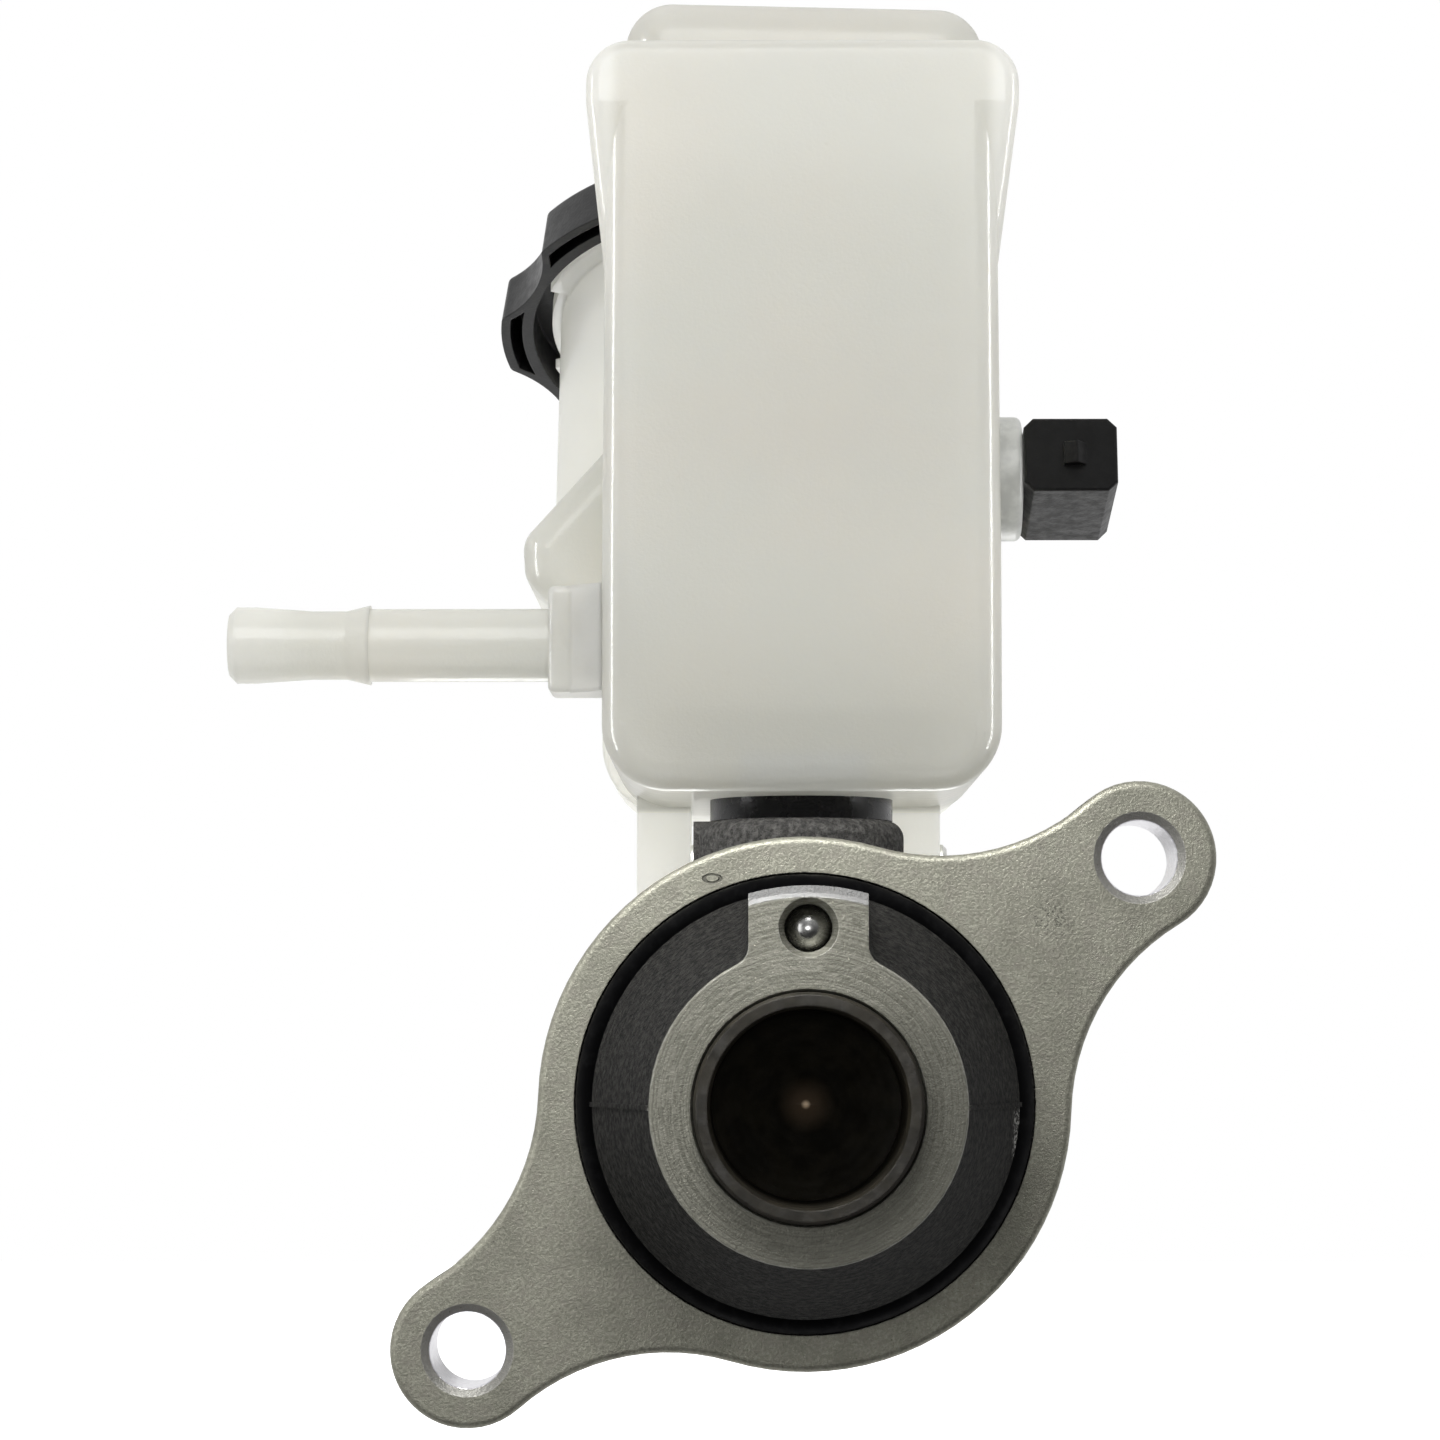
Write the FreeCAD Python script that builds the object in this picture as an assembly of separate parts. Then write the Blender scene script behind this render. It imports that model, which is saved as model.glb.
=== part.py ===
import FreeCAD, Part
import math
import os

# Tandem brake master cylinder with its fluid reservoir.
# Frame, in millimetres: the origin is the centre of the flange's mounting face, on the bore axis.
# -Y points at the brake booster, +Y along the barrel, +Z up to the reservoir.

X_AXIS = FreeCAD.Vector(1, 0, 0)
Y_AXIS = FreeCAD.Vector(0, 1, 0)
Z_AXIS = FreeCAD.Vector(0, 0, 1)
ORIGIN = FreeCAD.Vector(0, 0, 0)

# Flange
BOLT_CIRCLE_D = 92.0
BOLT_LINE_ANGLE = 36.1
BOLT_HOLE_R = 4.2
BOLT_CHAMFER = 0.9
FLANGE_R = 29.5
FLANGE_T = 14.0
EAR_R = 8.55
EAR_BLEND_R = 25.0
FLANGE_EDGE = 0.8

# Bore and spigot
BORE_R = 11.905
BORE_START = -34.0
BORE_END = 118.0
BORE_MOUTH_R = 12.2
BORE_MOUTH_DEPTH = 0.8
PILOT_R = 23.2
PILOT_LENGTH = 8.5
SPIGOT_END_R = 16.35
RIB_WIDTH = 12.4
RIB_TOP_R = 22.9
RIB_FILLET = 2.0
RIB_CHAMFER = 1.2
CHANNEL_Z = 18.5
CHANNEL_R = 2.5
CHANNEL_SINK_R = 3.1
CHANNEL_SINK_DEPTH = 1.5
SEAM_PROUD = 0.25
SEAM_HALF = 0.25

# O-ring seat at the root of the spigot
ORING_SEAT_R = 25.5
ORING_SEAT_DEPTH = 0.9
ORING_GROOVE_R = 22.3
ORING_GROOVE_FROM = -2.7
ORING_WIRE_R = 1.42
ORING_CENTRE_R = 23.8
ORING_CENTRE_Y = -1.1

# Barrel
BARREL_R = 18.2
BARREL_ROOT_R = 25.0
BARREL_ROOT_LENGTH = 9.0
BARREL_END = 125.0
BARREL_NOSE = 6.0

# Reservoir ports in the body
PORT_YS = {"rear": 28.0, "front": 79.0}
BOSS_R = 12.0
BOSS_TOP = 32.5
BOSS_EDGE = 0.8
PORT_BOSS_EDGE = 2.0
SOCKET_R = 9.4
SOCKET_FLOOR = 22.0
FEED_HOLE_R = 1.5
COMPENSATING_R = 0.5
COMPENSATING_Y = 87.3

# Brake pipe outlets
OUTLET_YS = [43.5, 113.0]
OUTLET_BOSS_R = 9.0
OUTLET_FACE_X = -27.0
OUTLET_THREAD_R = 5.46
OUTLET_THREAD_DEPTH = 11.0
OUTLET_DRILL_R = 2.4

# Static seals around the primary piston: start, end, groove radius
SEAL_GAP = 0.015
OUTER_SEAL = (-28.0, -24.0, 14.4)
GUIDE_RING = (-20.5, -15.5, 13.2)
PRIMARY_CUP = (0.5, 5.5, 15.6)
FEED_ANNULUS = (-6.0, -2.0, 13.4)
FEED_ANNULUS_Y = (FEED_ANNULUS[0] + FEED_ANNULUS[1]) / 2

# Pistons
PISTON_R = 11.875
PISTON_EDGE = 0.6
PRIMARY_REAR = -36.0
PRIMARY_FRONT = 14.0
PUSHROD_SOCKET_R = 10.15
PUSHROD_SOCKET_END = -15.0
DRILL_POINT_ANGLE = 118.0
PRIMARY_CAVITY_R = 9.8
PRIMARY_CAVITY_START = -6.0
PRIMARY_POST_R = 4.2
PRIMARY_POST_END = 4.0
PISTON_HOLE_R = 0.8
PISTON_HOLE_COUNT = 6
SECONDARY_REAR = 46.0
SECONDARY_FRONT = 96.0
SECONDARY_POCKET_R = 5.4
SECONDARY_POCKET_DEPTH = 7.0
SECONDARY_CAVITY_R = 7.8
SECONDARY_CAVITY_START = 88.0
SEPARATING_GROOVE = (49.5, 54.5)
SECONDARY_GROOVE = (81.5, 86.5)
CUP_CORE_R = 8.9
WAIST = (57.0, 78.0)
WAIST_R = 9.6
CUP_LIP = 1.6

# Stop pin of the secondary piston
SECONDARY_TRAVEL = 14.0
STOP_PIN_Y = 73.0
STOP_PIN_R = 1.6
STOP_PIN_BOTTOM = -6.0
STOP_PIN_TOP = 18.0
STOP_PIN_CHAMFER = 0.3
SLOT_CLEARANCE = 0.2

# Springs and the cage of the primary spring
PRIMARY_SPRING_R = 8.2
PRIMARY_WIRE_R = 1.1
PRIMARY_TURNS = 7.0
SECONDARY_SPRING_R = 6.6
SECONDARY_WIRE_R = 1.0
SECONDARY_TURNS = 6.0
SEAT_FLANGE_R = 9.5
SEAT_FLANGE_T = 2.0
SEAT_TUBE_R = 6.2
SEAT_TUBE_START = 33.0
SEAT_WALL = 1.0
SCREW_R = 2.4
SCREW_START = -2.5
SCREW_HEAD_R = 4.5
SCREW_HEAD_T = 3.0
SCREW_HEX = 3.0
SCREW_GAP = 0.1
SEAT_HOLE_GAP = 0.15

# Reservoir: a tall rear tower, a wider shoulder, a front chamber and the tilted filler neck
WALL = 2.0
WELD_Z = 120.8
TOWER_X = (-22.8, 22.5)
TOWER_TOP_X = (-22.4, 22.1)
TOWER_Y = (6.0, 62.0)
TOWER_Z = (35.0, 62.0)
TOWER_FLOOR_R = 7.5
TOWER_EDGE_R = 3.0
SHOULDER_X = (-24.7, 24.7)
SHOULDER_Y = (6.0, 62.0)
SHOULDER_LOW_X = (-22.6, 22.2)
SHOULDER_LOW_Y = (9.5, 62.0)
SHOULDER_LOW_Z = 94.0
SHOULDER_WIDE_Z = 113.5
SHOULDER_TOP_R = 5.0
SHOULDER_EDGE_R = 1.8
SHOULDER_INNER_R = 0.5
LID_X = (-20.6, 21.4)
LID_Y = (18.0, 60.0)
LID_TOP_Z = (128.8, 127.8)
LID_EDGE_R = 5.5
SPLIT_X = (-80.0, 80.0)
SPLIT_Z = (0.0, 150.0)
WELD_LIP = 0.5
WELD_LIP_T = 0.9
LID_LIP_Y = (LID_Y[0] - WELD_LIP, LID_Y[1] + WELD_LIP)
LINK_X = (-22.0, 20.0)
LINK_Z = (35.0, 82.0)
LINK_Y = (35.0, 90.0)
LINK_FLOOR_R = 9.0
PAN_X = (-24.6, 22.9)
PAN_Z = (35.0, 70.0)
PAN_Y = (64.0, 90.0)
CHAMBER_Y = (50.0, 105.0)
CHAMBER_PROFILE = [(-20.0, 86.0), (-24.2, 79.5), (-34.1, 68.6), (-33.8, 63.6), (-30.0, 60.0),
                   (-18.0, 52.0), (12.0, 52.0), (16.0, 58.0), (16.0, 86.0)]
CHAMBER_CORNER_R = 3.5
CHAMBER_EDGE_R = 3.5
CHAMBER_HALF_SPAN = 16.0

# Filler neck and cap: the axis leans forward from the vertical
NECK_X = -9.0
CAP_PLANE_Y = 95.0
CAP_PLANE_Z = 101.0
NECK_LEAN = 27.5
NECK_AXIS = FreeCAD.Vector(0, math.sin(math.radians(NECK_LEAN)), math.cos(math.radians(NECK_LEAN)))
CAP_CENTRE = FreeCAD.Vector(NECK_X, CAP_PLANE_Y, CAP_PLANE_Z)
NECK_R = 22.3
NECK_BELOW = 34.0
NECK_ABOVE = 4.2
NECK_COLLAR_R = 23.5
NECK_COLLAR_H = 1.5
LUG_R = 24.9
LUG_H = (1.0, 2.5)
LUG_COUNT = 3
LUG_ARC = 80.0
LUG_PHASE = 200.0
NECK_STEP_R = 21.1
NECK_STEP_H = 1.0
CAP_LOBES = 7
CAP_LOBE_PHASE = 176.3
CAP_LOBE_R = 30.3
CAP_LOBE_HALF = 10.9
CAP_SCALLOP_R = 27.3
CAP_DRAFT = 0.8
CAP_CORNER_R = 1.4
CAP_H = 7.2
CAP_TOP_T = 1.6
CAP_WALL = 1.2
CAP_SKIRT_R = 26.0
CAP_SKIRT_WALL = 1.5
CAP_EDGE = 0.8
CAP_CROWN_R = 17.0
CAP_CROWN_H = 3.0
GASKET_T = 1.3
STRAINER_R = 19.6
STRAINER_WALL = 0.8
STRAINER_DEPTH = 20.0
STRAINER_RIM_R = 21.0
STRAINER_SLOTS = 12
STRAINER_SLOT_W = 3.0
STRAINER_BAND = (3.0, 5.0)

# Reservoir feet: sockets for the grommets, legs for the retaining pin
LEGS_X = [(-19.7, -13.2), (10.6, 16.9)]
LEG_Y = (43.0, 57.0)
LEG_BOTTOM = 22.5
LEG_EDGE = 1.2
BODY_LUG_X = (-12.9, 10.3)
BODY_LUG_Y = (45.0, 55.0)
BODY_LUG_TOP = 33.5
BODY_LUG_EDGE = 2.0
RETAINER_Z = 28.8
RETAINER_R = 2.0
RETAINER_X = (-19.7, 18.0)
RETAINER_GAP = 0.05
RETAINER_CHAMFER = 0.5
RETAINER_CENTRE = FreeCAD.Vector(0, sum(BODY_LUG_Y) / 2, RETAINER_Z)
GROMMET_R = 10.7
GROMMET_TOP = 35.0
GROMMET_BORE_R = 6.6
GROMMET_FOOT = SOCKET_FLOOR
GROMMET_FLOOR = 24.0
FOOT_TUBE_R = 6.5
FOOT_TUBE_BORE_R = 4.6
FOOT_TUBE_BOTTOM = GROMMET_FLOOR

# Clutch hose nipple on the left wall
NIPPLE_Y = 17.0
NIPPLE_Z = 52.3
NIPPLE_BLOCK = {"x": (-29.1, -21.5), "y": (12.5, 21.5), "z": (46.5, 58.8)}
NIPPLE_BLOCK_EDGE = 0.8
NIPPLE_RAMP = {"x": (-26.6, -22.0), "y": (12.6, 8.6)}
NIPPLE_R = 4.2
NIPPLE_END_R = 3.95
NIPPLE_BARB_R = 4.6
NIPPLE_BARB_X = (-52.4, -49.7)
NIPPLE_TIP_X = -65.9
NIPPLE_TIP_R = 4.4
NIPPLE_BORE_R = 2.4
NIPPLE_TIP_WALL = 6.0
NIPPLE_TIP_CHAMFER = 0.8
NIPPLE_WAIST = 4.0
NIPPLE_PINCH = 3.0

# Level sensor in a dry pocket across the tower, and the float above it
SENSOR_Y = 30.0
SENSOR_Z = 73.2
COLLAR_R = 7.35
COLLAR_X = (22.5, 26.0)
COLLAR_EDGE = 0.8
STEM_R = 5.0
STEM_INNER_END = -12.0
STEM_BORE_R = 1.9
POCKET_R = 6.6
POCKET_BORE_R = 5.2
REED_R = 1.4
REED_X = (-9.0, 9.0)
REED_END_R = 1.0
REED_LEAD_R = 0.3
REED_LEAD = 1.0
SENSOR_ORING_WIRE_R = 0.8
SENSOR_ORING_X = 19.6
SENSOR_GROOVE_R = 3.5
SENSOR_GROOVE_HALF = 1.2
STEM_END_GAP = 0.5
SENSOR_TILT = 12.9
PLUG_X = (26.0, 36.9)
PLUG_Y = (21.8, 39.2)
PLUG_Z = (68.7, 77.7)
PLUG_PIVOT = FreeCAD.Vector(0, 30.5, 73.0)
PLUG_WALL = 1.4
PLUG_FLOOR = 5.0
PLUG_BEVEL = 1.1
PLUG_RIM = 0.3
LATCH = {"x": (30.6, 32.2), "tail": 1.1, "h": 2.7, "proud": 1.2}
BLADE_W = 2.8
BLADE_T = 0.8
BLADE_PITCH = 4.0
BLADE_Y = (23.5, 34.5)
FLOAT_R = 15.0
FLOAT_H = 14.0
FLOAT_REST_Z = 79.9
FLOAT_GAP = 0.08
FLOAT_EDGE = 2.0
MAGNET_R = 6.0
MAGNET_H = 4.0
POST_R = 2.5
POST_TOP = 118.0


def point(x, y, z):
    return FreeCAD.Vector(x, y, z)


def cylinder(radius, start, end, axis, centre=ORIGIN):
    """A cylinder along an axis, from start to end, measured from centre."""
    return Part.makeCylinder(radius, end - start, centre + axis * start, axis)


def cone(r_start, r_end, start, end, axis, centre=ORIGIN):
    return Part.makeCone(r_start, r_end, end - start, centre + axis * start, axis)


def ring(r_out, r_in, start, end, axis, centre=ORIGIN):
    return cylinder(r_out, start, end, axis, centre).cut(cylinder(r_in, start, end, axis, centre))


def block(x, y, z):
    """A box between pairs of limits."""
    return Part.makeBox(x[1] - x[0], y[1] - y[0], z[1] - z[0], point(x[0], y[0], z[0]))


def lathe_y(profile):
    """Turns (radius, y) points about the bore axis."""
    points = [point(r, y, 0) for r, y in profile]
    face = Part.Face(Part.makePolygon(points + points[:1]))
    return face.revolve(ORIGIN, Y_AXIS, 360)


def fuse_all(shapes):
    return shapes[0].multiFuse(shapes[1:]).removeSplitter()


def edges_where(shape, test):
    return [e for e in shape.Edges if test(e)]


def spring_y(mean_r, wire_r, start, end, turns):
    """A closed coil spring along Y between two end planes."""
    length = end - start - 2 * wire_r
    helix = Part.makeHelix(length / turns, length, mean_r)
    section = Part.Wire(Part.makeCircle(wire_r, point(mean_r, 0, 0), Y_AXIS))
    coil = Part.Wire(helix.Edges).makePipeShell([section], True, True)
    coil.rotate(ORIGIN, X_AXIS, -90)
    coil.translate(point(0, start + wire_r, 0))
    return coil


def on_circle(radius, degrees, centre=(0.0, 0.0)):
    """A point of the XZ plane."""
    a = math.radians(degrees)
    return point(centre[0] + radius * math.cos(a), 0, centre[1] + radius * math.sin(a))


def flange():
    """The disc with two ears, joined by concave arcs, extruded from the mounting face."""
    ear = BOLT_CIRCLE_D / 2
    to_disc = FLANGE_R + EAR_BLEND_R
    to_ear = EAR_R + EAR_BLEND_R
    blend_x = (to_disc ** 2 - to_ear ** 2 + ear ** 2) / (2 * ear)
    blend_z = math.sqrt(to_disc ** 2 - blend_x ** 2)
    disc_angle = math.degrees(math.atan2(blend_z, blend_x))
    ear_angle = math.degrees(math.atan2(blend_z, blend_x - ear))
    half_turn = (disc_angle + ear_angle) / 2
    ear_centre = (ear, 0)
    low_disc, high_disc = on_circle(FLANGE_R, -disc_angle), on_circle(FLANGE_R, disc_angle)
    low_ear, high_ear = on_circle(EAR_R, -ear_angle, ear_centre), on_circle(EAR_R, ear_angle, ear_centre)
    half = [(low_disc, on_circle(EAR_BLEND_R, 180 - half_turn, (blend_x, -blend_z)), low_ear),
            (low_ear, on_circle(EAR_R, 0, ear_centre), high_ear),
            (high_ear, on_circle(EAR_BLEND_R, 180 + half_turn, (blend_x, blend_z)), high_disc),
            (high_disc, on_circle(FLANGE_R, 90), on_circle(FLANGE_R, 180 - disc_angle))]
    turned = [tuple(point(-p.x, 0, -p.z) for p in arc) for arc in half]
    edges = [Part.Arc(*arc).toShape() for arc in half + turned]
    plate = Part.Face(Part.Wire(edges)).extrude(Y_AXIS * FLANGE_T)
    plate = plate.makeFillet(FLANGE_EDGE, edges_where(plate, lambda e: e.BoundBox.YLength < 1e-6))
    for side in (1, -1):
        centre = point(side * ear, 0, 0)
        plate = plate.cut(cylinder(BOLT_HOLE_R, 0, FLANGE_T, Y_AXIS, centre))
        for start, end, r_start, r_end in (
                (0, BOLT_CHAMFER, BOLT_HOLE_R + BOLT_CHAMFER, BOLT_HOLE_R),
                (FLANGE_T - BOLT_CHAMFER, FLANGE_T, BOLT_HOLE_R, BOLT_HOLE_R + BOLT_CHAMFER)):
            plate = plate.cut(cone(r_start, r_end, start, end, Y_AXIS, centre))
    plate.rotate(ORIGIN, Y_AXIS, -BOLT_LINE_ANGLE)
    return plate


def spigot():
    """The pilot, the cast cone behind it, its mould seams and the rib over the drilled channel."""
    body = lathe_y([(0, BORE_START), (SPIGOT_END_R, BORE_START), (PILOT_R, -PILOT_LENGTH),
                    (PILOT_R, FLANGE_T / 2), (0, FLANGE_T / 2)])
    seam = lathe_y([(0, BORE_START + 0.5), (SPIGOT_END_R + SEAM_PROUD, BORE_START + 0.5),
                    (PILOT_R + SEAM_PROUD, -PILOT_LENGTH), (0, -PILOT_LENGTH)])
    half_width = 2 * PILOT_R
    seam = seam.common(block((-half_width, half_width), (BORE_START, 0), (-SEAM_HALF, SEAM_HALF)))
    rib = block((-RIB_WIDTH / 2, RIB_WIDTH / 2), (BORE_START, FLANGE_T / 2), (SPIGOT_END_R / 2, PILOT_R + 1))
    rib = rib.common(cylinder(RIB_TOP_R, BORE_START, FLANGE_T / 2, Y_AXIS))
    rib = rib.cut(lathe_y([(RIB_TOP_R - RIB_CHAMFER, BORE_START), (RIB_TOP_R + 1, BORE_START),
                           (RIB_TOP_R + 1, BORE_START + RIB_CHAMFER + 1),
                           (RIB_TOP_R, BORE_START + RIB_CHAMFER)]))
    body = body.fuse(rib)
    roots = edges_where(body, lambda e: abs(e.BoundBox.Center.x) > RIB_WIDTH / 2 - 0.01
                        and abs(e.BoundBox.XLength) < 0.01 and e.BoundBox.YLength > 20
                        and e.BoundBox.ZLength > 1)
    return body.makeFillet(RIB_FILLET, roots).fuse(seam)


def barrel():
    nose = BARREL_R - BARREL_NOSE
    root_end = FLANGE_T + BARREL_ROOT_LENGTH
    return lathe_y([(0, FLANGE_T / 2), (BARREL_ROOT_R, FLANGE_T / 2), (BARREL_ROOT_R, FLANGE_T + 1),
                    (BARREL_R, root_end), (BARREL_R, BARREL_END - BARREL_NOSE), (nose, BARREL_END),
                    (0, BARREL_END)])


def port_boss(y):
    boss = cylinder(BOSS_R, 0, BOSS_TOP, Z_AXIS, point(0, y, 0))
    return boss.makeFillet(PORT_BOSS_EDGE, edges_where(boss, lambda e: e.BoundBox.ZMin > BOSS_TOP - 0.01))


def outlet_boss(y):
    boss = cylinder(OUTLET_BOSS_R, 0, -OUTLET_FACE_X, X_AXIS * -1, point(0, y, 0))
    return boss.makeChamfer(BOSS_EDGE, edges_where(boss, lambda e: e.BoundBox.XMax < OUTLET_FACE_X + 0.01))


def outlet_hole(y):
    centre = point(OUTLET_FACE_X, y, 0)
    thread = cylinder(OUTLET_THREAD_R, 0, OUTLET_THREAD_DEPTH, X_AXIS, centre)
    drill = cylinder(OUTLET_DRILL_R, 0, -OUTLET_FACE_X, X_AXIS, centre)
    return thread.fuse(drill)


def body_cavity():
    """The bore with its mouth and annular grooves, the channel and the port holes."""
    cuts = [cylinder(BORE_R, BORE_START, BORE_END, Y_AXIS),
            cone(BORE_MOUTH_R, BORE_R, BORE_START, BORE_START + BORE_MOUTH_DEPTH, Y_AXIS),
            cylinder(CHANNEL_R, BORE_START, PORT_YS["rear"], Y_AXIS, point(0, 0, CHANNEL_Z)),
            cone(CHANNEL_SINK_R, CHANNEL_R, BORE_START, BORE_START + CHANNEL_SINK_DEPTH, Y_AXIS,
                 point(0, 0, CHANNEL_Z)),
            cylinder(FEED_HOLE_R, 0, CHANNEL_Z, Z_AXIS, point(0, FEED_ANNULUS_Y, 0)),
            cylinder(CHANNEL_R, CHANNEL_Z, BOSS_TOP, Z_AXIS, point(0, PORT_YS["rear"], 0)),
            cylinder(FEED_HOLE_R, 0, BOSS_TOP, Z_AXIS, point(0, PORT_YS["front"] - 2, 0)),
            cylinder(COMPENSATING_R, 0, SOCKET_FLOOR + 1, Z_AXIS, point(0, COMPENSATING_Y, 0)),
            cylinder(STOP_PIN_R, 0, STOP_PIN_TOP, Z_AXIS, point(0, STOP_PIN_Y, 0)),
            cylinder(FEED_HOLE_R / 2, STOP_PIN_TOP, BOSS_TOP, Z_AXIS, point(0, STOP_PIN_Y, 0))]
    for start, end, radius in (OUTER_SEAL, GUIDE_RING, PRIMARY_CUP, FEED_ANNULUS):
        cuts.append(cylinder(radius, start, end, Y_AXIS))
    for y in PORT_YS.values():
        cuts.append(cylinder(SOCKET_R, SOCKET_FLOOR, BOSS_TOP, Z_AXIS, point(0, y, 0)))
    return cuts + [outlet_hole(y) for y in OUTLET_YS]


def cylinder_body():
    lug = block(BODY_LUG_X, BODY_LUG_Y, (0, BODY_LUG_TOP))
    lug = lug.makeFillet(BODY_LUG_EDGE, edges_where(
        lug, lambda e: e.BoundBox.ZMin > BODY_LUG_TOP - 0.01 and e.BoundBox.XLength > 1))
    solids = [flange(), spigot(), barrel(), lug]
    solids += [port_boss(y) for y in PORT_YS.values()]
    solids += [outlet_boss(y) for y in OUTLET_YS]
    body = fuse_all(solids)
    seat = ring(ORING_SEAT_R, PILOT_R, 0, ORING_SEAT_DEPTH, Y_AXIS)
    groove = ring(PILOT_R + 1, ORING_GROOVE_R, ORING_GROOVE_FROM, ORING_SEAT_DEPTH, Y_AXIS)
    groove = groove.common(cylinder(ORING_SEAT_R, ORING_GROOVE_FROM, ORING_SEAT_DEPTH, Y_AXIS))
    hole = cylinder(RETAINER_R + RETAINER_GAP, BODY_LUG_X[0], BODY_LUG_X[1], X_AXIS, RETAINER_CENTRE)
    return body.cut([seat, groove, hole] + body_cavity())


def channel_ball():
    return Part.makeSphere(CHANNEL_R, point(0, BORE_START + CHANNEL_SINK_DEPTH + CHANNEL_R, CHANNEL_Z))


def flange_oring():
    return Part.makeTorus(ORING_CENTRE_R, ORING_WIRE_R, point(0, ORING_CENTRE_Y, 0), Y_AXIS)


def static_seal(limits, with_lip):
    """A seal ring that fills its groove in the body, with a cup's hollow in its pressure side."""
    start, end, radius = limits
    seal = ring(radius, BORE_R - SEAL_GAP, start, end, Y_AXIS)
    if with_lip:
        middle = (radius + BORE_R) / 2
        seal = seal.cut(ring(middle + CUP_LIP / 2, middle - CUP_LIP / 2, (start + end) / 2, end, Y_AXIS))
    return seal


def moving_cup(limits, lip_towards):
    """A cup seal in a groove of the secondary piston, hollow on its pressure side."""
    start, end = limits
    cup = ring(BORE_R - SEAL_GAP, CUP_CORE_R, start, end, Y_AXIS)
    middle = (BORE_R + CUP_CORE_R) / 2
    half = (start + end) / 2
    hollow = (half, end) if lip_towards > 0 else (start, half)
    return cup.cut(ring(middle + CUP_LIP / 2, middle - CUP_LIP / 2, hollow[0], hollow[1], Y_AXIS))


def primary_piston():
    tip = PUSHROD_SOCKET_R / math.tan(math.radians(DRILL_POINT_ANGLE / 2))
    socket = PUSHROD_SOCKET_R
    piston = lathe_y([
        (0, PUSHROD_SOCKET_END + tip), (socket, PUSHROD_SOCKET_END), (socket, PRIMARY_REAR + PISTON_EDGE),
        (socket + PISTON_EDGE / 2, PRIMARY_REAR), (PISTON_R - PISTON_EDGE / 2, PRIMARY_REAR),
        (PISTON_R, PRIMARY_REAR + PISTON_EDGE), (PISTON_R, PRIMARY_FRONT - PISTON_EDGE),
        (PISTON_R - PISTON_EDGE, PRIMARY_FRONT), (PRIMARY_CAVITY_R, PRIMARY_FRONT),
        (PRIMARY_CAVITY_R, PRIMARY_CAVITY_START), (PRIMARY_POST_R, PRIMARY_CAVITY_START),
        (PRIMARY_POST_R, PRIMARY_POST_END), (0, PRIMARY_POST_END)])
    cuts = [cylinder(SCREW_R, SCREW_START, PRIMARY_POST_END, Y_AXIS)]
    feed = Y_AXIS * FEED_ANNULUS_Y
    for i in range(PISTON_HOLE_COUNT):
        angle = math.radians(i * 360 / PISTON_HOLE_COUNT + 30)
        outward = point(math.cos(angle), 0, math.sin(angle))
        cuts.append(cylinder(PISTON_HOLE_R, PRIMARY_CAVITY_R - 1, PISTON_R + 1, outward, feed))
    return piston.cut(cuts)


def secondary_piston():
    s0, s1 = SEPARATING_GROOVE
    c0, c1 = SECONDARY_GROOVE
    front_edge = SECONDARY_FRONT - PISTON_EDGE
    pocket_end = SECONDARY_REAR + SECONDARY_POCKET_DEPTH
    piston = lathe_y([
        (0, pocket_end), (SECONDARY_POCKET_R, pocket_end), (SECONDARY_POCKET_R, SECONDARY_REAR),
        (PISTON_R - PISTON_EDGE, SECONDARY_REAR), (PISTON_R, SECONDARY_REAR + PISTON_EDGE),
        (PISTON_R, s0), (CUP_CORE_R, s0), (CUP_CORE_R, s1), (PISTON_R, s1),
        (PISTON_R, WAIST[0]), (WAIST_R, WAIST[0]), (WAIST_R, WAIST[1]), (PISTON_R, WAIST[1]),
        (PISTON_R, c0), (CUP_CORE_R, c0), (CUP_CORE_R, c1), (PISTON_R, c1),
        (PISTON_R, front_edge), (PISTON_R - PISTON_EDGE, SECONDARY_FRONT),
        (SECONDARY_CAVITY_R, SECONDARY_FRONT), (SECONDARY_CAVITY_R, SECONDARY_CAVITY_START),
        (0, SECONDARY_CAVITY_START)])
    half = STOP_PIN_R + SLOT_CLEARANCE
    slot = block((-half, half), (STOP_PIN_Y - SECONDARY_TRAVEL, STOP_PIN_Y), (-PISTON_R, PISTON_R))
    for y in (STOP_PIN_Y - SECONDARY_TRAVEL, STOP_PIN_Y):
        slot = slot.fuse(cylinder(half, -PISTON_R, PISTON_R, Z_AXIS, point(0, y, 0)))
    return piston.cut(slot)


def stop_pin():
    pin = cylinder(STOP_PIN_R, STOP_PIN_BOTTOM, STOP_PIN_TOP, Z_AXIS, point(0, STOP_PIN_Y, 0))
    return pin.makeChamfer(STOP_PIN_CHAMFER, edges_where(pin, lambda e: e.BoundBox.ZLength < 0.01))


def primary_spring():
    return spring_y(PRIMARY_SPRING_R, PRIMARY_WIRE_R, PRIMARY_CAVITY_START, SECONDARY_REAR - SEAT_FLANGE_T,
                    PRIMARY_TURNS)


def secondary_spring():
    return spring_y(SECONDARY_SPRING_R, SECONDARY_WIRE_R, SECONDARY_CAVITY_START, BORE_END, SECONDARY_TURNS)


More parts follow.
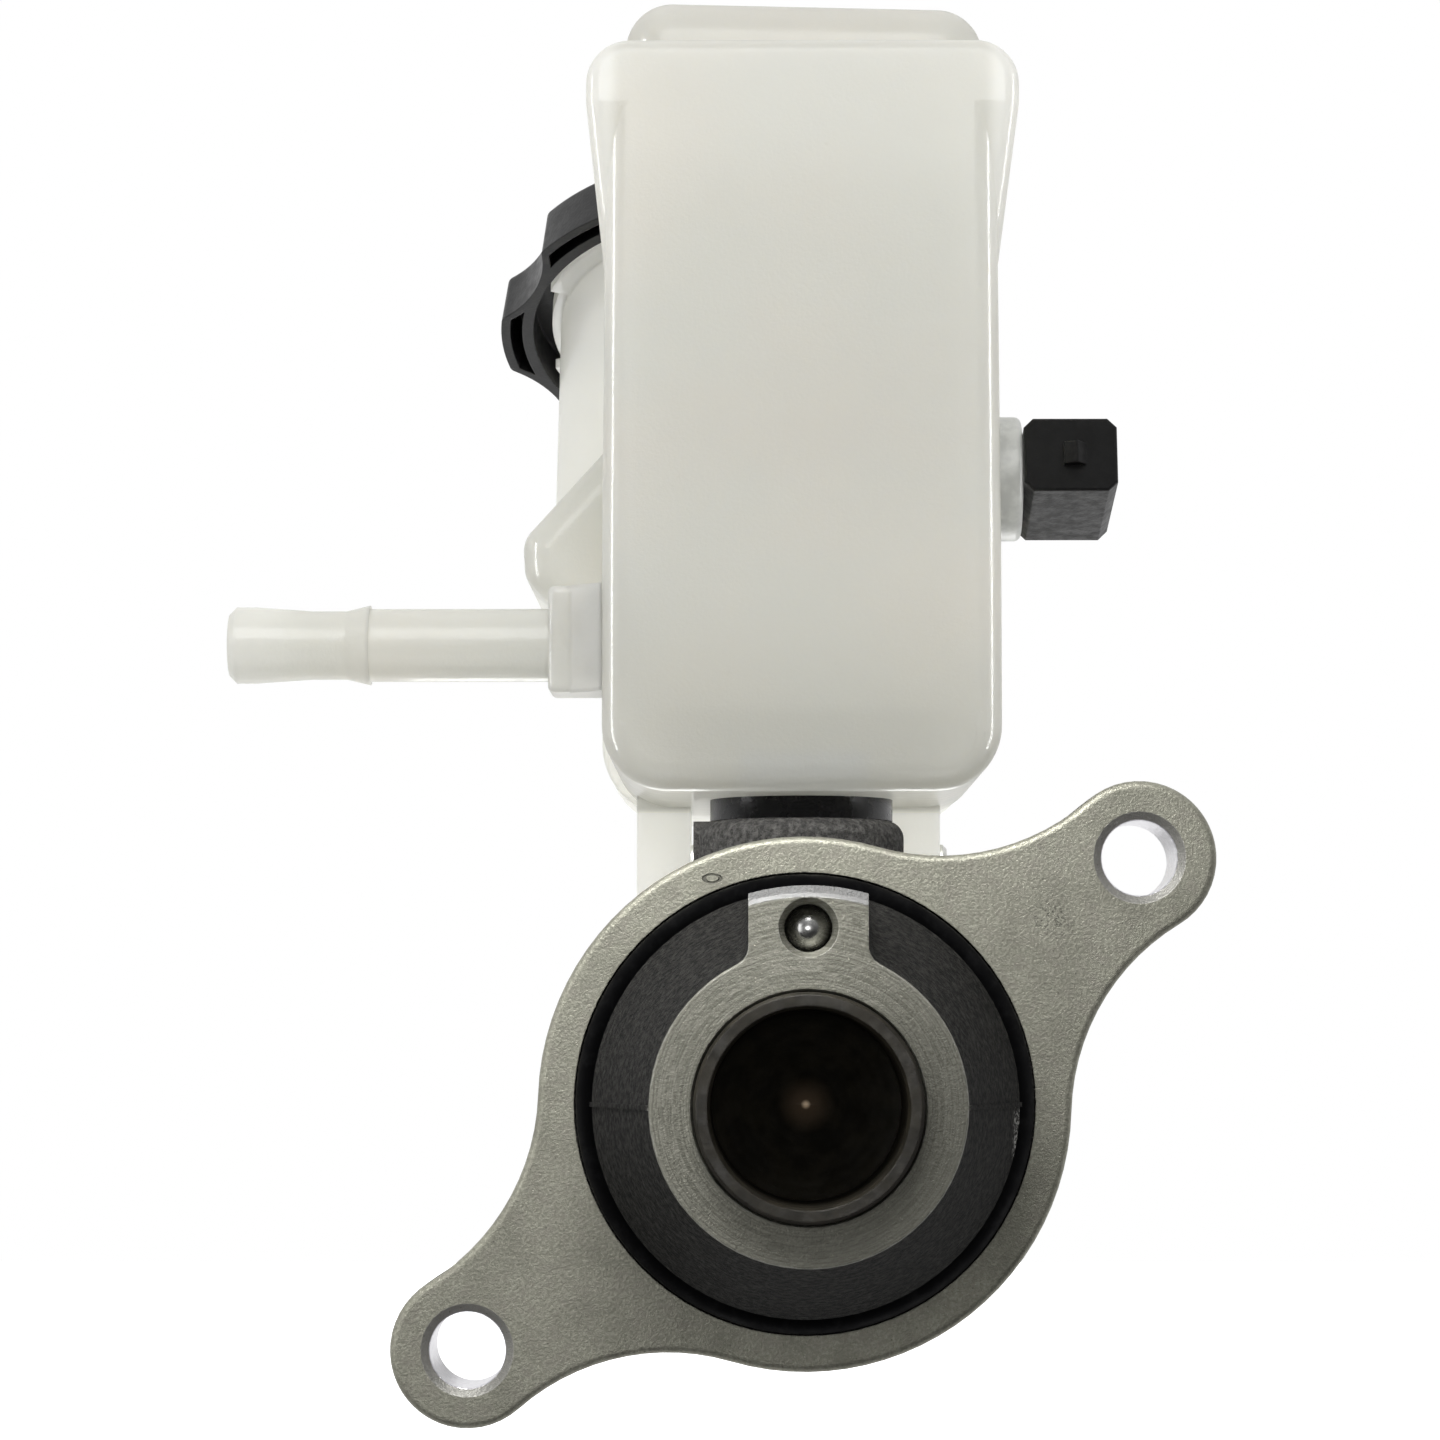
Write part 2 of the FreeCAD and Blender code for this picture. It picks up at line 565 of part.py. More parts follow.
def spring_seat():
    """A deep cup whose floor is held by the head of the captive screw."""
    flange_start = SECONDARY_REAR - SEAT_FLANGE_T
    inner = SEAT_TUBE_R - SEAT_WALL
    hole = SCREW_R + SEAT_HOLE_GAP
    return lathe_y([(hole, SEAT_TUBE_START), (SEAT_TUBE_R, SEAT_TUBE_START), (SEAT_TUBE_R, flange_start),
                    (SEAT_FLANGE_R, flange_start), (SEAT_FLANGE_R, SECONDARY_REAR), (inner, SECONDARY_REAR),
                    (inner, SEAT_TUBE_START + SEAT_WALL), (hole, SEAT_TUBE_START + SEAT_WALL)])


def captive_screw():
    head = SEAT_TUBE_START + SEAT_WALL + SCREW_GAP
    shank = cylinder(SCREW_R, SCREW_START, head, Y_AXIS)
    top = cylinder(SCREW_HEAD_R, head, head + SCREW_HEAD_T, Y_AXIS)
    corners = [point(SCREW_HEX * math.cos(math.radians(60 * i)), head + SCREW_HEAD_T,
                     SCREW_HEX * math.sin(math.radians(60 * i))) for i in range(6)]
    hexagon = Part.Face(Part.makePolygon(corners + corners[:1])).extrude(Y_AXIS * -SCREW_HEAD_T / 2)
    return shank.fuse(top).cut(hexagon)


def prism(points, y):
    """Extrudes a closed XZ outline along Y."""
    corners = [point(x, y[0], z) for x, z in points]
    return Part.Face(Part.makePolygon(corners + corners[:1])).extrude(Y_AXIS * (y[1] - y[0]))


def rounded_ends(solid, radius, y_values):
    """Rounds the outline edges of the faces that look along Y at the given places."""
    chosen = edges_where(solid, lambda e: e.BoundBox.YLength < 0.01
                         and any(abs(e.BoundBox.YMin - y) < 0.01 for y in y_values))
    return solid.makeFillet(radius, chosen)


def tower(inset):
    """The rear tank: its sides lean in a little above the middle."""
    y = (TOWER_Y[0] + inset, TOWER_Y[1] - inset)
    floor = TOWER_Z[0] + inset
    outline = [(TOWER_X[0] + inset, floor), (TOWER_X[1] - inset, floor), (TOWER_X[1] - inset, TOWER_Z[1]),
               (TOWER_TOP_X[1] - inset, WELD_Z - inset), (TOWER_TOP_X[0] + inset, WELD_Z - inset),
               (TOWER_X[0] + inset, TOWER_Z[1])]
    solid = prism(outline, y)
    solid = solid.makeFillet(TOWER_FLOOR_R - inset, edges_where(
        solid, lambda e: e.BoundBox.YLength > 1 and e.BoundBox.ZMax < floor + 0.01))
    solid = solid.makeFillet(SHOULDER_TOP_R - inset, edges_where(
        solid, lambda e: e.BoundBox.YLength > 1 and e.BoundBox.ZMin > WELD_Z - inset - 0.01))
    return rounded_ends(solid, TOWER_EDGE_R - inset, y)


def rounded_section(x, y, z, radius):
    """A closed rectangle with rounded corners, lying at a height."""
    centres = [(x[1] - radius, y[0] + radius), (x[1] - radius, y[1] - radius),
               (x[0] + radius, y[1] - radius), (x[0] + radius, y[0] + radius)]
    arcs = [Part.makeCircle(radius, point(cx, cy, z), Z_AXIS, 90 * i - 90, 90 * i)
            for i, (cx, cy) in enumerate(centres)]
    edges = []
    for i, arc in enumerate(arcs):
        following = arcs[(i + 1) % len(arcs)]
        edges += [arc, Part.makeLine(arc.Vertexes[-1].Point, following.Vertexes[0].Point)]
    return Part.Wire(edges)


def shoulder(inset):
    """The wider band below the weld, and the flare from the tower's sides up to it."""
    radius = max(SHOULDER_EDGE_R - inset, SHOULDER_INNER_R)
    top = WELD_Z - inset
    y = (SHOULDER_Y[0] + inset, SHOULDER_Y[1] - inset)
    low_y = (SHOULDER_LOW_Y[0] + inset, SHOULDER_LOW_Y[1] - inset)
    wide_x = (SHOULDER_X[0] + inset, SHOULDER_X[1] - inset)
    low_x = (SHOULDER_LOW_X[0] + inset, SHOULDER_LOW_X[1] - inset)
    flare = Part.makeLoft([rounded_section(low_x, low_y, SHOULDER_LOW_Z, radius),
                           rounded_section(wide_x, y, SHOULDER_WIDE_Z, radius)], True, True)
    band = block(wide_x, y, (SHOULDER_WIDE_Z, top))
    band = band.makeFillet(SHOULDER_TOP_R - inset, edges_where(
        band, lambda e: e.BoundBox.YLength > 1 and e.BoundBox.ZMin > top - 0.01))
    band = band.makeFillet(radius, edges_where(
        band, lambda e: e.BoundBox.YLength < 0.01 and e.BoundBox.ZMax > SHOULDER_WIDE_Z + 0.01))
    return flare.fuse(band)


def lid(inset):
    """The roof above the weld, a little lower on the right."""
    y = (LID_Y[0] + inset, LID_Y[1] - inset)
    outline = [(LID_X[0] + inset, WELD_Z), (LID_X[1] - inset, WELD_Z),
               (LID_X[1] - inset, LID_TOP_Z[1] - inset), (LID_X[0] + inset, LID_TOP_Z[0] - inset)]
    solid = prism(outline, y)
    return solid.makeFillet(LID_EDGE_R - inset, edges_where(
        solid, lambda e: e.BoundBox.ZMax > WELD_Z + 0.01))


def lid_opening():
    """The hole in the tub's roof, under the lid."""
    y = (LID_Y[0] + WALL, LID_Y[1] - WALL)
    hole = block((LID_X[0] + WALL, LID_X[1] - WALL), y, (WELD_Z - 2 * WALL, WELD_Z))
    return hole.makeFillet(LID_EDGE_R - WALL, edges_where(hole, lambda e: e.BoundBox.ZLength > 1))


def rounded_box(x, y, z, radius):
    """A box along Y with rounded long edges."""
    solid = block(x, y, z)
    return solid.makeFillet(radius, edges_where(
        solid, lambda e: e.BoundBox.YLength > e.BoundBox.XLength + e.BoundBox.ZLength))


def link(inset):
    """Carries the tower's section forward over the front port, under the filler neck."""
    return rounded_box((LINK_X[0] + inset, LINK_X[1] - inset), (LINK_Y[0], LINK_Y[1] - inset),
                       (LINK_Z[0] + inset, LINK_Z[1] - inset), LINK_FLOOR_R - inset)


def pan(inset):
    """The wider floor of the front chamber."""
    return rounded_box((PAN_X[0] + inset, PAN_X[1] - inset), (PAN_Y[0] + inset, PAN_Y[1] - inset),
                       (PAN_Z[0] + inset, PAN_Z[1] - inset), LINK_FLOOR_R - inset)


def chamber(inset):
    """The front chamber under the neck, with its bulge to the left."""
    middle_x = (CHAMBER_PROFILE[0][0] + CHAMBER_PROFILE[-1][0]) / 2
    middle_z = (CHAMBER_PROFILE[0][1] + CHAMBER_PROFILE[4][1]) / 2
    shrink = 1 - inset / CHAMBER_HALF_SPAN
    outline = [(middle_x + (x - middle_x) * shrink, middle_z + (z - middle_z) * shrink)
               for x, z in CHAMBER_PROFILE]
    y = (CHAMBER_Y[0] + inset, CHAMBER_Y[1] - inset)
    solid = prism(outline, y)
    solid = solid.makeFillet(CHAMBER_CORNER_R, edges_where(solid, lambda e: e.BoundBox.YLength > 1))
    return rounded_ends(solid, CHAMBER_EDGE_R, y)


def neck(inset):
    return cylinder(NECK_R - inset, -NECK_BELOW + inset, NECK_ABOVE + inset, NECK_AXIS, CAP_CENTRE)


def neck_lugs():
    """Short thread lugs around the neck, inside the cap."""
    lug_ring = ring(LUG_R, NECK_R - WALL / 2, LUG_H[0], LUG_H[1], Z_AXIS)
    lugs = []
    for i in range(LUG_COUNT):
        turn = LUG_PHASE + i * 360 / LUG_COUNT
        wedge = Part.makeCylinder(2 * LUG_R, LUG_H[1] - LUG_H[0], point(0, 0, LUG_H[0]), Z_AXIS, LUG_ARC)
        wedge.rotate(ORIGIN, Z_AXIS, turn)
        lugs.append(to_neck(lug_ring.common(wedge)))
    return lugs


def tub_outer():
    collar = cylinder(NECK_COLLAR_R, NECK_COLLAR_H, NECK_ABOVE, NECK_AXIS, CAP_CENTRE)
    return fuse_all([tower(0), shoulder(0), link(0), pan(0), chamber(0), neck(0), collar])


def tub_inner():
    step = cylinder(NECK_STEP_R, NECK_ABOVE - NECK_STEP_H, NECK_ABOVE, NECK_AXIS, CAP_CENTRE)
    return [tower(WALL), shoulder(WALL), link(WALL), pan(WALL), chamber(WALL), neck(WALL), lid_opening(),
            step]


def hose_bore():
    tip = -NIPPLE_TIP_X - NIPPLE_TIP_WALL
    return cylinder(NIPPLE_BORE_R, -TOWER_X[0] - 2 * WALL, tip, X_AXIS * -1, point(0, NIPPLE_Y, NIPPLE_Z))


def hose_nipple():
    """The moulded hose tube on the tank's left wall: its square root, barb and closed tip."""
    centre = point(0, NIPPLE_Y, NIPPLE_Z)
    left = X_AXIS * -1
    root = block(NIPPLE_BLOCK["x"], NIPPLE_BLOCK["y"], NIPPLE_BLOCK["z"])
    root = root.makeFillet(NIPPLE_BLOCK_EDGE, root.Edges)
    ramp_x, ramp_y = NIPPLE_RAMP["x"], NIPPLE_RAMP["y"]
    floor, top = NIPPLE_BLOCK["z"]
    corners = [point(ramp_x[0], ramp_y[0], floor), point(ramp_x[1], ramp_y[1], floor),
               point(ramp_x[1], NIPPLE_Y, floor), point(ramp_x[0], NIPPLE_Y, floor)]
    ramp = Part.Face(Part.makePolygon(corners + corners[:1])).extrude(Z_AXIS * (top - floor))
    barb_far, barb_near = -NIPPLE_BARB_X[0], -NIPPLE_BARB_X[1]
    tip = -NIPPLE_TIP_X
    chamfer = tip - NIPPLE_TIP_CHAMFER
    pinch = tip - NIPPLE_PINCH
    solid = fuse_all([root, ramp, cylinder(NIPPLE_R, -NIPPLE_BLOCK["x"][1], barb_near, left, centre),
                      cone(NIPPLE_BARB_R, NIPPLE_END_R, barb_near, barb_far, left, centre),
                      cylinder(NIPPLE_END_R, barb_near, chamfer, left, centre),
                      cone(NIPPLE_END_R, NIPPLE_TIP_R, barb_far + NIPPLE_WAIST, pinch, left, centre),
                      cylinder(NIPPLE_TIP_R, pinch, chamfer, left, centre),
                      cone(NIPPLE_TIP_R, NIPPLE_TIP_R - NIPPLE_TIP_CHAMFER, chamfer, tip, left, centre)])
    outside = block((NIPPLE_TIP_X, TOWER_X[0] / 2), (ramp_y[1], NIPPLE_BLOCK["y"][1]), NIPPLE_BLOCK["z"])
    return solid.common(outside).cut([tower(0), hose_bore()])


def legs():
    solids = []
    for x in LEGS_X:
        leg = block(x, LEG_Y, (LEG_BOTTOM, TOWER_Z[0] + WALL))
        solids.append(leg.makeFillet(LEG_EDGE, edges_where(
            leg, lambda e: e.BoundBox.ZMax < LEG_BOTTOM + 0.01)))
    return solids


def foot_tubes():
    return [cylinder(FOOT_TUBE_R, FOOT_TUBE_BOTTOM, GROMMET_TOP + WALL, Z_AXIS, point(0, y, 0))
            for y in PORT_YS.values()]


def sensor_pocket():
    """The dry pocket for the sensor's stem and the post that guides the float, inside the tank."""
    centre = point(0, SENSOR_Y, SENSOR_Z)
    tube = cylinder(POCKET_R, STEM_INNER_END - WALL, COLLAR_X[0], X_AXIS, centre)
    post = cylinder(POST_R, SENSOR_Z, POST_TOP, Z_AXIS, point(0, SENSOR_Y, 0))
    return tube.fuse(post).common(tower(WALL)).cut(pocket_bore())


def pocket_bore():
    return cylinder(POCKET_BORE_R, STEM_INNER_END, COLLAR_X[0], X_AXIS, point(0, SENSOR_Y, SENSOR_Z))


def lower_shell():
    """The lower moulding's walls: tank, front chamber, neck, legs and feet."""
    shell = tub_outer().cut(tub_inner())
    shell = shell.multiFuse(legs() + foot_tubes() + neck_lugs())
    holes = [cylinder(FOOT_TUBE_BORE_R, FOOT_TUBE_BOTTOM, GROMMET_TOP + 2 * WALL, Z_AXIS, point(0, y, 0))
             for y in PORT_YS.values()]
    for x in LEGS_X:
        holes.append(cylinder(RETAINER_R + RETAINER_GAP, x[0], x[1], X_AXIS, RETAINER_CENTRE))
    return shell.cut(holes + [hose_bore(), pocket_bore()]).removeSplitter()


def reservoir_tank():
    """The moulding up to the rear face of the tower's front wall."""
    return lower_shell().common(block(SPLIT_X, (0, TOWER_Y[1]), SPLIT_Z))


def reservoir_front():
    """The rest of the same moulding: the front chamber and the neck."""
    return lower_shell().common(block(SPLIT_X, (TOWER_Y[1], 2 * CHAMBER_Y[1]), SPLIT_Z))


def reservoir_upper_shell():
    lip = lid(-WELD_LIP).common(block(SPLIT_X, LID_LIP_Y, (WELD_Z, WELD_Z + WELD_LIP_T)))
    return fuse_all([lid(0), lip]).cut(lid(WALL))


def retaining_pin():
    pin = cylinder(RETAINER_R, RETAINER_X[0], RETAINER_X[1], X_AXIS, RETAINER_CENTRE)
    return pin.makeChamfer(RETAINER_CHAMFER, edges_where(pin, lambda e: e.BoundBox.XLength < 0.01))


def grommet(y):
    """A rubber bush in the body's socket: the reservoir's foot tube pushes into it."""
    centre = point(0, y, 0)
    solid = cylinder(SOCKET_R, GROMMET_FOOT, GROMMET_TOP, Z_AXIS, centre)
    collar = cylinder(GROMMET_R, BOSS_TOP, GROMMET_TOP, Z_AXIS, centre)
    bore = cylinder(GROMMET_BORE_R, GROMMET_FLOOR, GROMMET_TOP, Z_AXIS, centre)
    throat = cylinder(FOOT_TUBE_BORE_R, GROMMET_FOOT, GROMMET_TOP, Z_AXIS, centre)
    return solid.fuse(collar).cut([bore, throat]).removeSplitter()


def cap_outline(inset, z):
    """The closed outline of the cap: lobe arcs on one circle, joined by shallow concave arcs."""
    pitch = 360 / CAP_LOBES
    lobe = CAP_LOBE_R - inset
    scallop = CAP_SCALLOP_R - inset
    edges = []
    for i in range(CAP_LOBES):
        middle = CAP_LOBE_PHASE + i * pitch
        start, end = middle - CAP_LOBE_HALF, middle + CAP_LOBE_HALF
        valley = (end, middle + pitch / 2, start + pitch)
        for radius, degrees in ((lobe, (start, middle, end)), (scallop, valley)):
            ends = [(lobe, degrees[0]), (radius, degrees[1]), (lobe, degrees[2])]
            edges.append(Part.Arc(*[point(r * math.cos(math.radians(d)), r * math.sin(math.radians(d)), z)
                                    for r, d in ends]).toShape())
    return Part.Wire(edges)


def cap_prism(inset, height, draft, corner_r):
    """A lobed block from the rim plane up, narrower at its top, with rounded upright corners."""
    solid = Part.makeLoft([cap_outline(inset, 0), cap_outline(inset + draft, height)], True, True)
    return solid.makeFillet(corner_r, edges_where(solid, lambda e: e.BoundBox.ZLength > height / 2))


def to_neck(solid):
    """Moves a shape made about +Z onto the neck's axis, with its rim plane at the cap's centre."""
    solid.rotate(ORIGIN, X_AXIS, -NECK_LEAN)
    solid.translate(CAP_CENTRE)
    return solid


def filler_cap():
    """A lobed skirt around a threaded inner skirt, with hollow pockets between them, and a raised crown."""
    shell = cap_prism(0, CAP_H, CAP_DRAFT, CAP_CORNER_R)
    shell = shell.makeFillet(CAP_EDGE, edges_where(shell, lambda e: e.BoundBox.ZMin > CAP_H - 0.01))
    ceiling = CAP_H - CAP_TOP_T
    pockets = cap_prism(CAP_WALL, ceiling, CAP_DRAFT, CAP_CORNER_R / 2)
    pockets = pockets.cut(cylinder(CAP_SKIRT_R + CAP_SKIRT_WALL, 0, ceiling, Z_AXIS))
    crown = cylinder(CAP_CROWN_R, CAP_H, CAP_H + CAP_CROWN_H, Z_AXIS)
    crown = crown.makeFillet(CAP_EDGE, edges_where(
        crown, lambda e: e.BoundBox.ZMin > CAP_H + CAP_CROWN_H - 0.01))
    inside = cylinder(CAP_SKIRT_R, 0, ceiling, Z_AXIS)
    return to_neck(shell.fuse(crown).cut([pockets, inside]))


def cap_gasket():
    top = CAP_H - CAP_TOP_T
    disc = cylinder(NECK_R + 1, top - GASKET_T, top, Z_AXIS)
    return to_neck(disc.cut(cylinder(NECK_R - 2 * WALL, top - GASKET_T, top - GASKET_T / 2, Z_AXIS)))


def filler_strainer():
    """A sieve basket that hangs in the neck by its rim."""
    top = NECK_ABOVE
    basket = ring(STRAINER_R, STRAINER_R - STRAINER_WALL, top - STRAINER_DEPTH, top, Z_AXIS)
    rim = ring(STRAINER_RIM_R, STRAINER_R - STRAINER_WALL, top - NECK_STEP_H, top, Z_AXIS)
    floor = cylinder(STRAINER_R, top - STRAINER_DEPTH, top - STRAINER_DEPTH + STRAINER_WALL, Z_AXIS)
    slots = []
    for i in range(STRAINER_SLOTS):
        slot = block((0, STRAINER_R + 1), (-STRAINER_SLOT_W / 2, STRAINER_SLOT_W / 2),
                     (top - STRAINER_DEPTH + STRAINER_BAND[0], top - STRAINER_BAND[1]))
        slot = slot.cut(cylinder(STRAINER_R / 2, top - STRAINER_DEPTH, top, Z_AXIS))
        slot.rotate(ORIGIN, Z_AXIS, i * 360 / STRAINER_SLOTS)
        slots.append(slot)
    return to_neck(basket.multiFuse([rim, floor]).cut(slots))


def sensor_body():
    """The grey collar outside the wall and the stem in the pocket, bored for the reed switch."""
    centre = point(0, SENSOR_Y, SENSOR_Z)
    collar = cylinder(COLLAR_R, COLLAR_X[0], COLLAR_X[1], X_AXIS, centre)
    collar = collar.makeFillet(COLLAR_EDGE, edges_where(
        collar, lambda e: e.BoundBox.XMin > COLLAR_X[1] - 0.01))
    stem = cylinder(STEM_R, STEM_INNER_END + STEM_END_GAP, COLLAR_X[0], X_AXIS, centre)
    groove = ring(STEM_R, SENSOR_GROOVE_R, SENSOR_ORING_X - SENSOR_GROOVE_HALF,
                  SENSOR_ORING_X + SENSOR_GROOVE_HALF, X_AXIS, centre)
    bore = cylinder(STEM_BORE_R, STEM_INNER_END + 3 * STEM_END_GAP, COLLAR_X[1] - REED_LEAD, X_AXIS, centre)
    return collar.fuse(stem).cut([groove, bore])


def reed_switch():
    centre = point(0, SENSOR_Y, SENSOR_Z)
    glass = cylinder(REED_R, REED_X[0], REED_X[1], X_AXIS, centre)
    leads = cylinder(REED_LEAD_R, REED_X[0] - REED_LEAD, COLLAR_X[0], X_AXIS, centre)
    return glass.makeFillet(REED_END_R, edges_where(glass, lambda e: e.BoundBox.XLength < 0.01)).fuse(leads)


def sensor_oring():
    return Part.makeTorus(SENSOR_GROOVE_R + SENSOR_ORING_WIRE_R, SENSOR_ORING_WIRE_R,
                          point(SENSOR_ORING_X, SENSOR_Y, SENSOR_Z), X_AXIS)


def tilt_plug(solid):
    solid.rotate(PLUG_PIVOT, X_AXIS, -SENSOR_TILT)
    return solid


def plug_box(inset, y):
    return block((PLUG_X[0] + inset, PLUG_X[1] - inset), y, (PLUG_Z[0] + inset, PLUG_Z[1] - inset))


def sensor_connector():
    """The plug housing: an eight-sided shroud that opens forward, with a latch nub on its closed end."""
    shell = plug_box(0, PLUG_Y)
    shell = shell.makeChamfer(PLUG_BEVEL, edges_where(shell, lambda e: e.BoundBox.YLength > 1))
    shell = shell.makeFillet(PLUG_RIM, edges_where(shell, lambda e: e.BoundBox.YMax < PLUG_Y[0] + 0.01))
    back = PLUG_Y[0]
    foot = sum(PLUG_Z) / 2 - LATCH["h"] / 2
    nub = [point(LATCH["x"][0], back, foot), point(LATCH["x"][1] + LATCH["tail"], back, foot),
           point(LATCH["x"][1], back - LATCH["proud"], foot),
           point(LATCH["x"][0], back - LATCH["proud"] / 2, foot)]
    nub = Part.Face(Part.makePolygon(nub + nub[:1])).extrude(Z_AXIS * LATCH["h"])
    hollow = plug_box(PLUG_WALL, (PLUG_Y[0] + PLUG_FLOOR, PLUG_Y[1]))
    blades = [blade(side) for side in (-1, 1)]
    return tilt_plug(shell.fuse(nub).cut([hollow] + blades))


def blade(side):
    x = sum(PLUG_X) / 2 + side * BLADE_PITCH / 2
    z = sum(PLUG_Z) / 2
    return block((x - BLADE_T / 2, x + BLADE_T / 2), BLADE_Y, (z - BLADE_W / 2, z + BLADE_W / 2))


def connector_terminals():
    blades = [tilt_plug(blade(side)) for side in (-1, 1)]
    return Part.makeCompound(blades)


def level_float():
    centre = point(0, SENSOR_Y, 0)
    solid = cylinder(FLOAT_R, FLOAT_REST_Z, FLOAT_REST_Z + FLOAT_H, Z_AXIS, centre)
    solid = solid.makeFillet(FLOAT_EDGE, edges_where(solid, lambda e: e.BoundBox.ZLength < 0.01))
    magnet = cylinder(MAGNET_R, FLOAT_REST_Z, FLOAT_REST_Z + MAGNET_H, Z_AXIS, centre)
    bore = cylinder(POST_R + FLOAT_GAP, FLOAT_REST_Z, FLOAT_REST_Z + FLOAT_H, Z_AXIS, centre)
    return solid.cut([magnet, bore])


def float_magnet():
    return ring(MAGNET_R, POST_R + 2 * FLOAT_GAP, FLOAT_REST_Z, FLOAT_REST_Z + MAGNET_H, Z_AXIS,
                point(0, SENSOR_Y, 0))


NODES = {
    "cylinder_body": cylinder_body,
    "channel_ball": channel_ball,
    "flange_oring": flange_oring,
    "outer_seal": lambda: static_seal(OUTER_SEAL, True),
    "guide_ring": lambda: static_seal(GUIDE_RING, False),
    "primary_cup": lambda: static_seal(PRIMARY_CUP, True),
    "primary_piston": primary_piston,
    "secondary_piston": secondary_piston,
    "separating_cup": lambda: moving_cup(SEPARATING_GROOVE, -1),
    "secondary_cup": lambda: moving_cup(SECONDARY_GROOVE, 1),
    "stop_pin": stop_pin,
    "primary_spring": primary_spring,
    "secondary_spring": secondary_spring,
    "spring_seat": spring_seat,
    "captive_screw": captive_screw,
    "reservoir_tank": reservoir_tank,
    "reservoir_front": reservoir_front,
    "hose_nipple": hose_nipple,
    "sensor_pocket": sensor_pocket,
    "reservoir_upper_shell": reservoir_upper_shell,
    "retaining_pin": retaining_pin,
    "rear_grommet": lambda: grommet(PORT_YS["rear"]),
    "front_grommet": lambda: grommet(PORT_YS["front"]),
    "filler_cap": filler_cap,
    "cap_gasket": cap_gasket,
    "filler_strainer": filler_strainer,
    "sensor_body": sensor_body,
    "sensor_oring": sensor_oring,
    "reed_switch": reed_switch,
    "sensor_connector": sensor_connector,
    "connector_terminals": connector_terminals,
    "level_float": level_float,
    "float_magnet": float_magnet,
}

os.makedirs("parts", exist_ok=True)
for name, make in NODES.items():
    shape = make()
    state = "valid" if shape.isValid() else "INVALID"
    print(name, state, len(shape.Solids), "solids", round(shape.Volume, 1), "mm3")
    shape.exportStep("parts/" + name + ".step")
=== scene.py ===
import math
import bpy
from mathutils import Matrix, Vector


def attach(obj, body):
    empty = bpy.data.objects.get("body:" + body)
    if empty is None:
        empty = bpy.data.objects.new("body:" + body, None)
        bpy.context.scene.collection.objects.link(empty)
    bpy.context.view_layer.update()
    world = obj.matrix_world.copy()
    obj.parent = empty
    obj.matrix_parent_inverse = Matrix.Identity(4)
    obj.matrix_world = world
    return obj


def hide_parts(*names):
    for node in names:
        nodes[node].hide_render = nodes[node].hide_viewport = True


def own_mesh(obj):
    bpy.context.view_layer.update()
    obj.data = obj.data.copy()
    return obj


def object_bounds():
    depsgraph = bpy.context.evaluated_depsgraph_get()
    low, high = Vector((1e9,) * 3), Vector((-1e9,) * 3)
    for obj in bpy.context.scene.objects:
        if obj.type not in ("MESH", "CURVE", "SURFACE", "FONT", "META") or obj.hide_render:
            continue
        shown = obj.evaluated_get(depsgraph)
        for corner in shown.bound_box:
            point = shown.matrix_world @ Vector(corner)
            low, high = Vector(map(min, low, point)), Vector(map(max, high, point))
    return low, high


# A tandem brake master cylinder with its reservoir, seen from the booster side.
# Metres, in the CAD frame: origin on the flange's mounting face, -Y towards the booster, +Z up.

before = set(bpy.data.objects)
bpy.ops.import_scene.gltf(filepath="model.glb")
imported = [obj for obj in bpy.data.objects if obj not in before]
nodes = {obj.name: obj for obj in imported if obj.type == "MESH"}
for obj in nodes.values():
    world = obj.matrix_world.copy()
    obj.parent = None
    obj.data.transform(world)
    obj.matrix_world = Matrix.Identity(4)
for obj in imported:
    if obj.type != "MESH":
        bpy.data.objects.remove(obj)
cad_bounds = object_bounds()

# Camera
CAMERA_AT = (-0.006, -0.480, 0.007)
CAMERA_PITCH = 4.22
CAMERA_YAW = 0.40
FOCAL_LENGTH = 108.3
SENSOR_WIDTH = 36.0

# Studio
FLOOR_GAP = 0.030
FLOOR_HALF = 0.9
SKY_FRONT = (0.06, 0.62)
SKY_BACK = (1.25, 1.12)
SKY_WHITE = (1.0, 1.0, 1.0, 1.0)

# Springs: mean radius, wire radius, turns, and the planes between which they are held
PRIMARY_SPRING = {"mean": 0.0082, "wire": 0.0011, "turns": 7.0, "from": -0.006, "to": 0.044}
SECONDARY_SPRING = {"mean": 0.0066, "wire": 0.0010, "turns": 6.0, "from": 0.088, "to": 0.118}
SPRING_DEAD_TURNS = 1.0
STEPS_PER_TURN = 40
WIRE_SIDES = 12

# Regions of the cylinder body: where each one ends, and the width over which it fades out there
END_PLANE = (-0.0337, 0.0003)
MOUTH_PLANE = (-0.0318, 0.0003)
MOUTH_R = (0.0128, 0.0002)
SINK_PLANE = (-0.0305, 0.0005)
SINK_R = (0.0034, 0.0002)
TAB_PLANE = (-0.0328, 0.0004)
TAB_R = (0.02175, 0.00025)
FACE_DEPTH = (0.00006, 0.00006)
FACE_R = (0.0240, 0.0004)
EDGE_DEPTH = (0.0006, 0.0002)
EDGE_R = (0.0266, 0.0004)
SIDE_START = (0.0005, 0.0005)
SIDE_END = (0.0145, 0.0015)
SIDE_R = (0.0262, 0.0007)
BOLT_BORE_R = (0.00425, 0.00005)
BOLT_CHAMFER_R = (0.0051, 0.00005)
BARREL_START = (0.014, 0.002)

# Places on the cylinder body, as (X, Z)
CHANNEL_AT = (0.0, 0.0185)
DIMPLE_AT = (-0.0102, 0.0248)
DIMPLE_R = 0.0009
SCUFF_AT = (0.0273, 0.0204)
SCUFF_R = (0.0008, 0.0022)
BOLT_AT = (0.046, 0.0)
BOLT_ANGLE = math.radians(36.1)

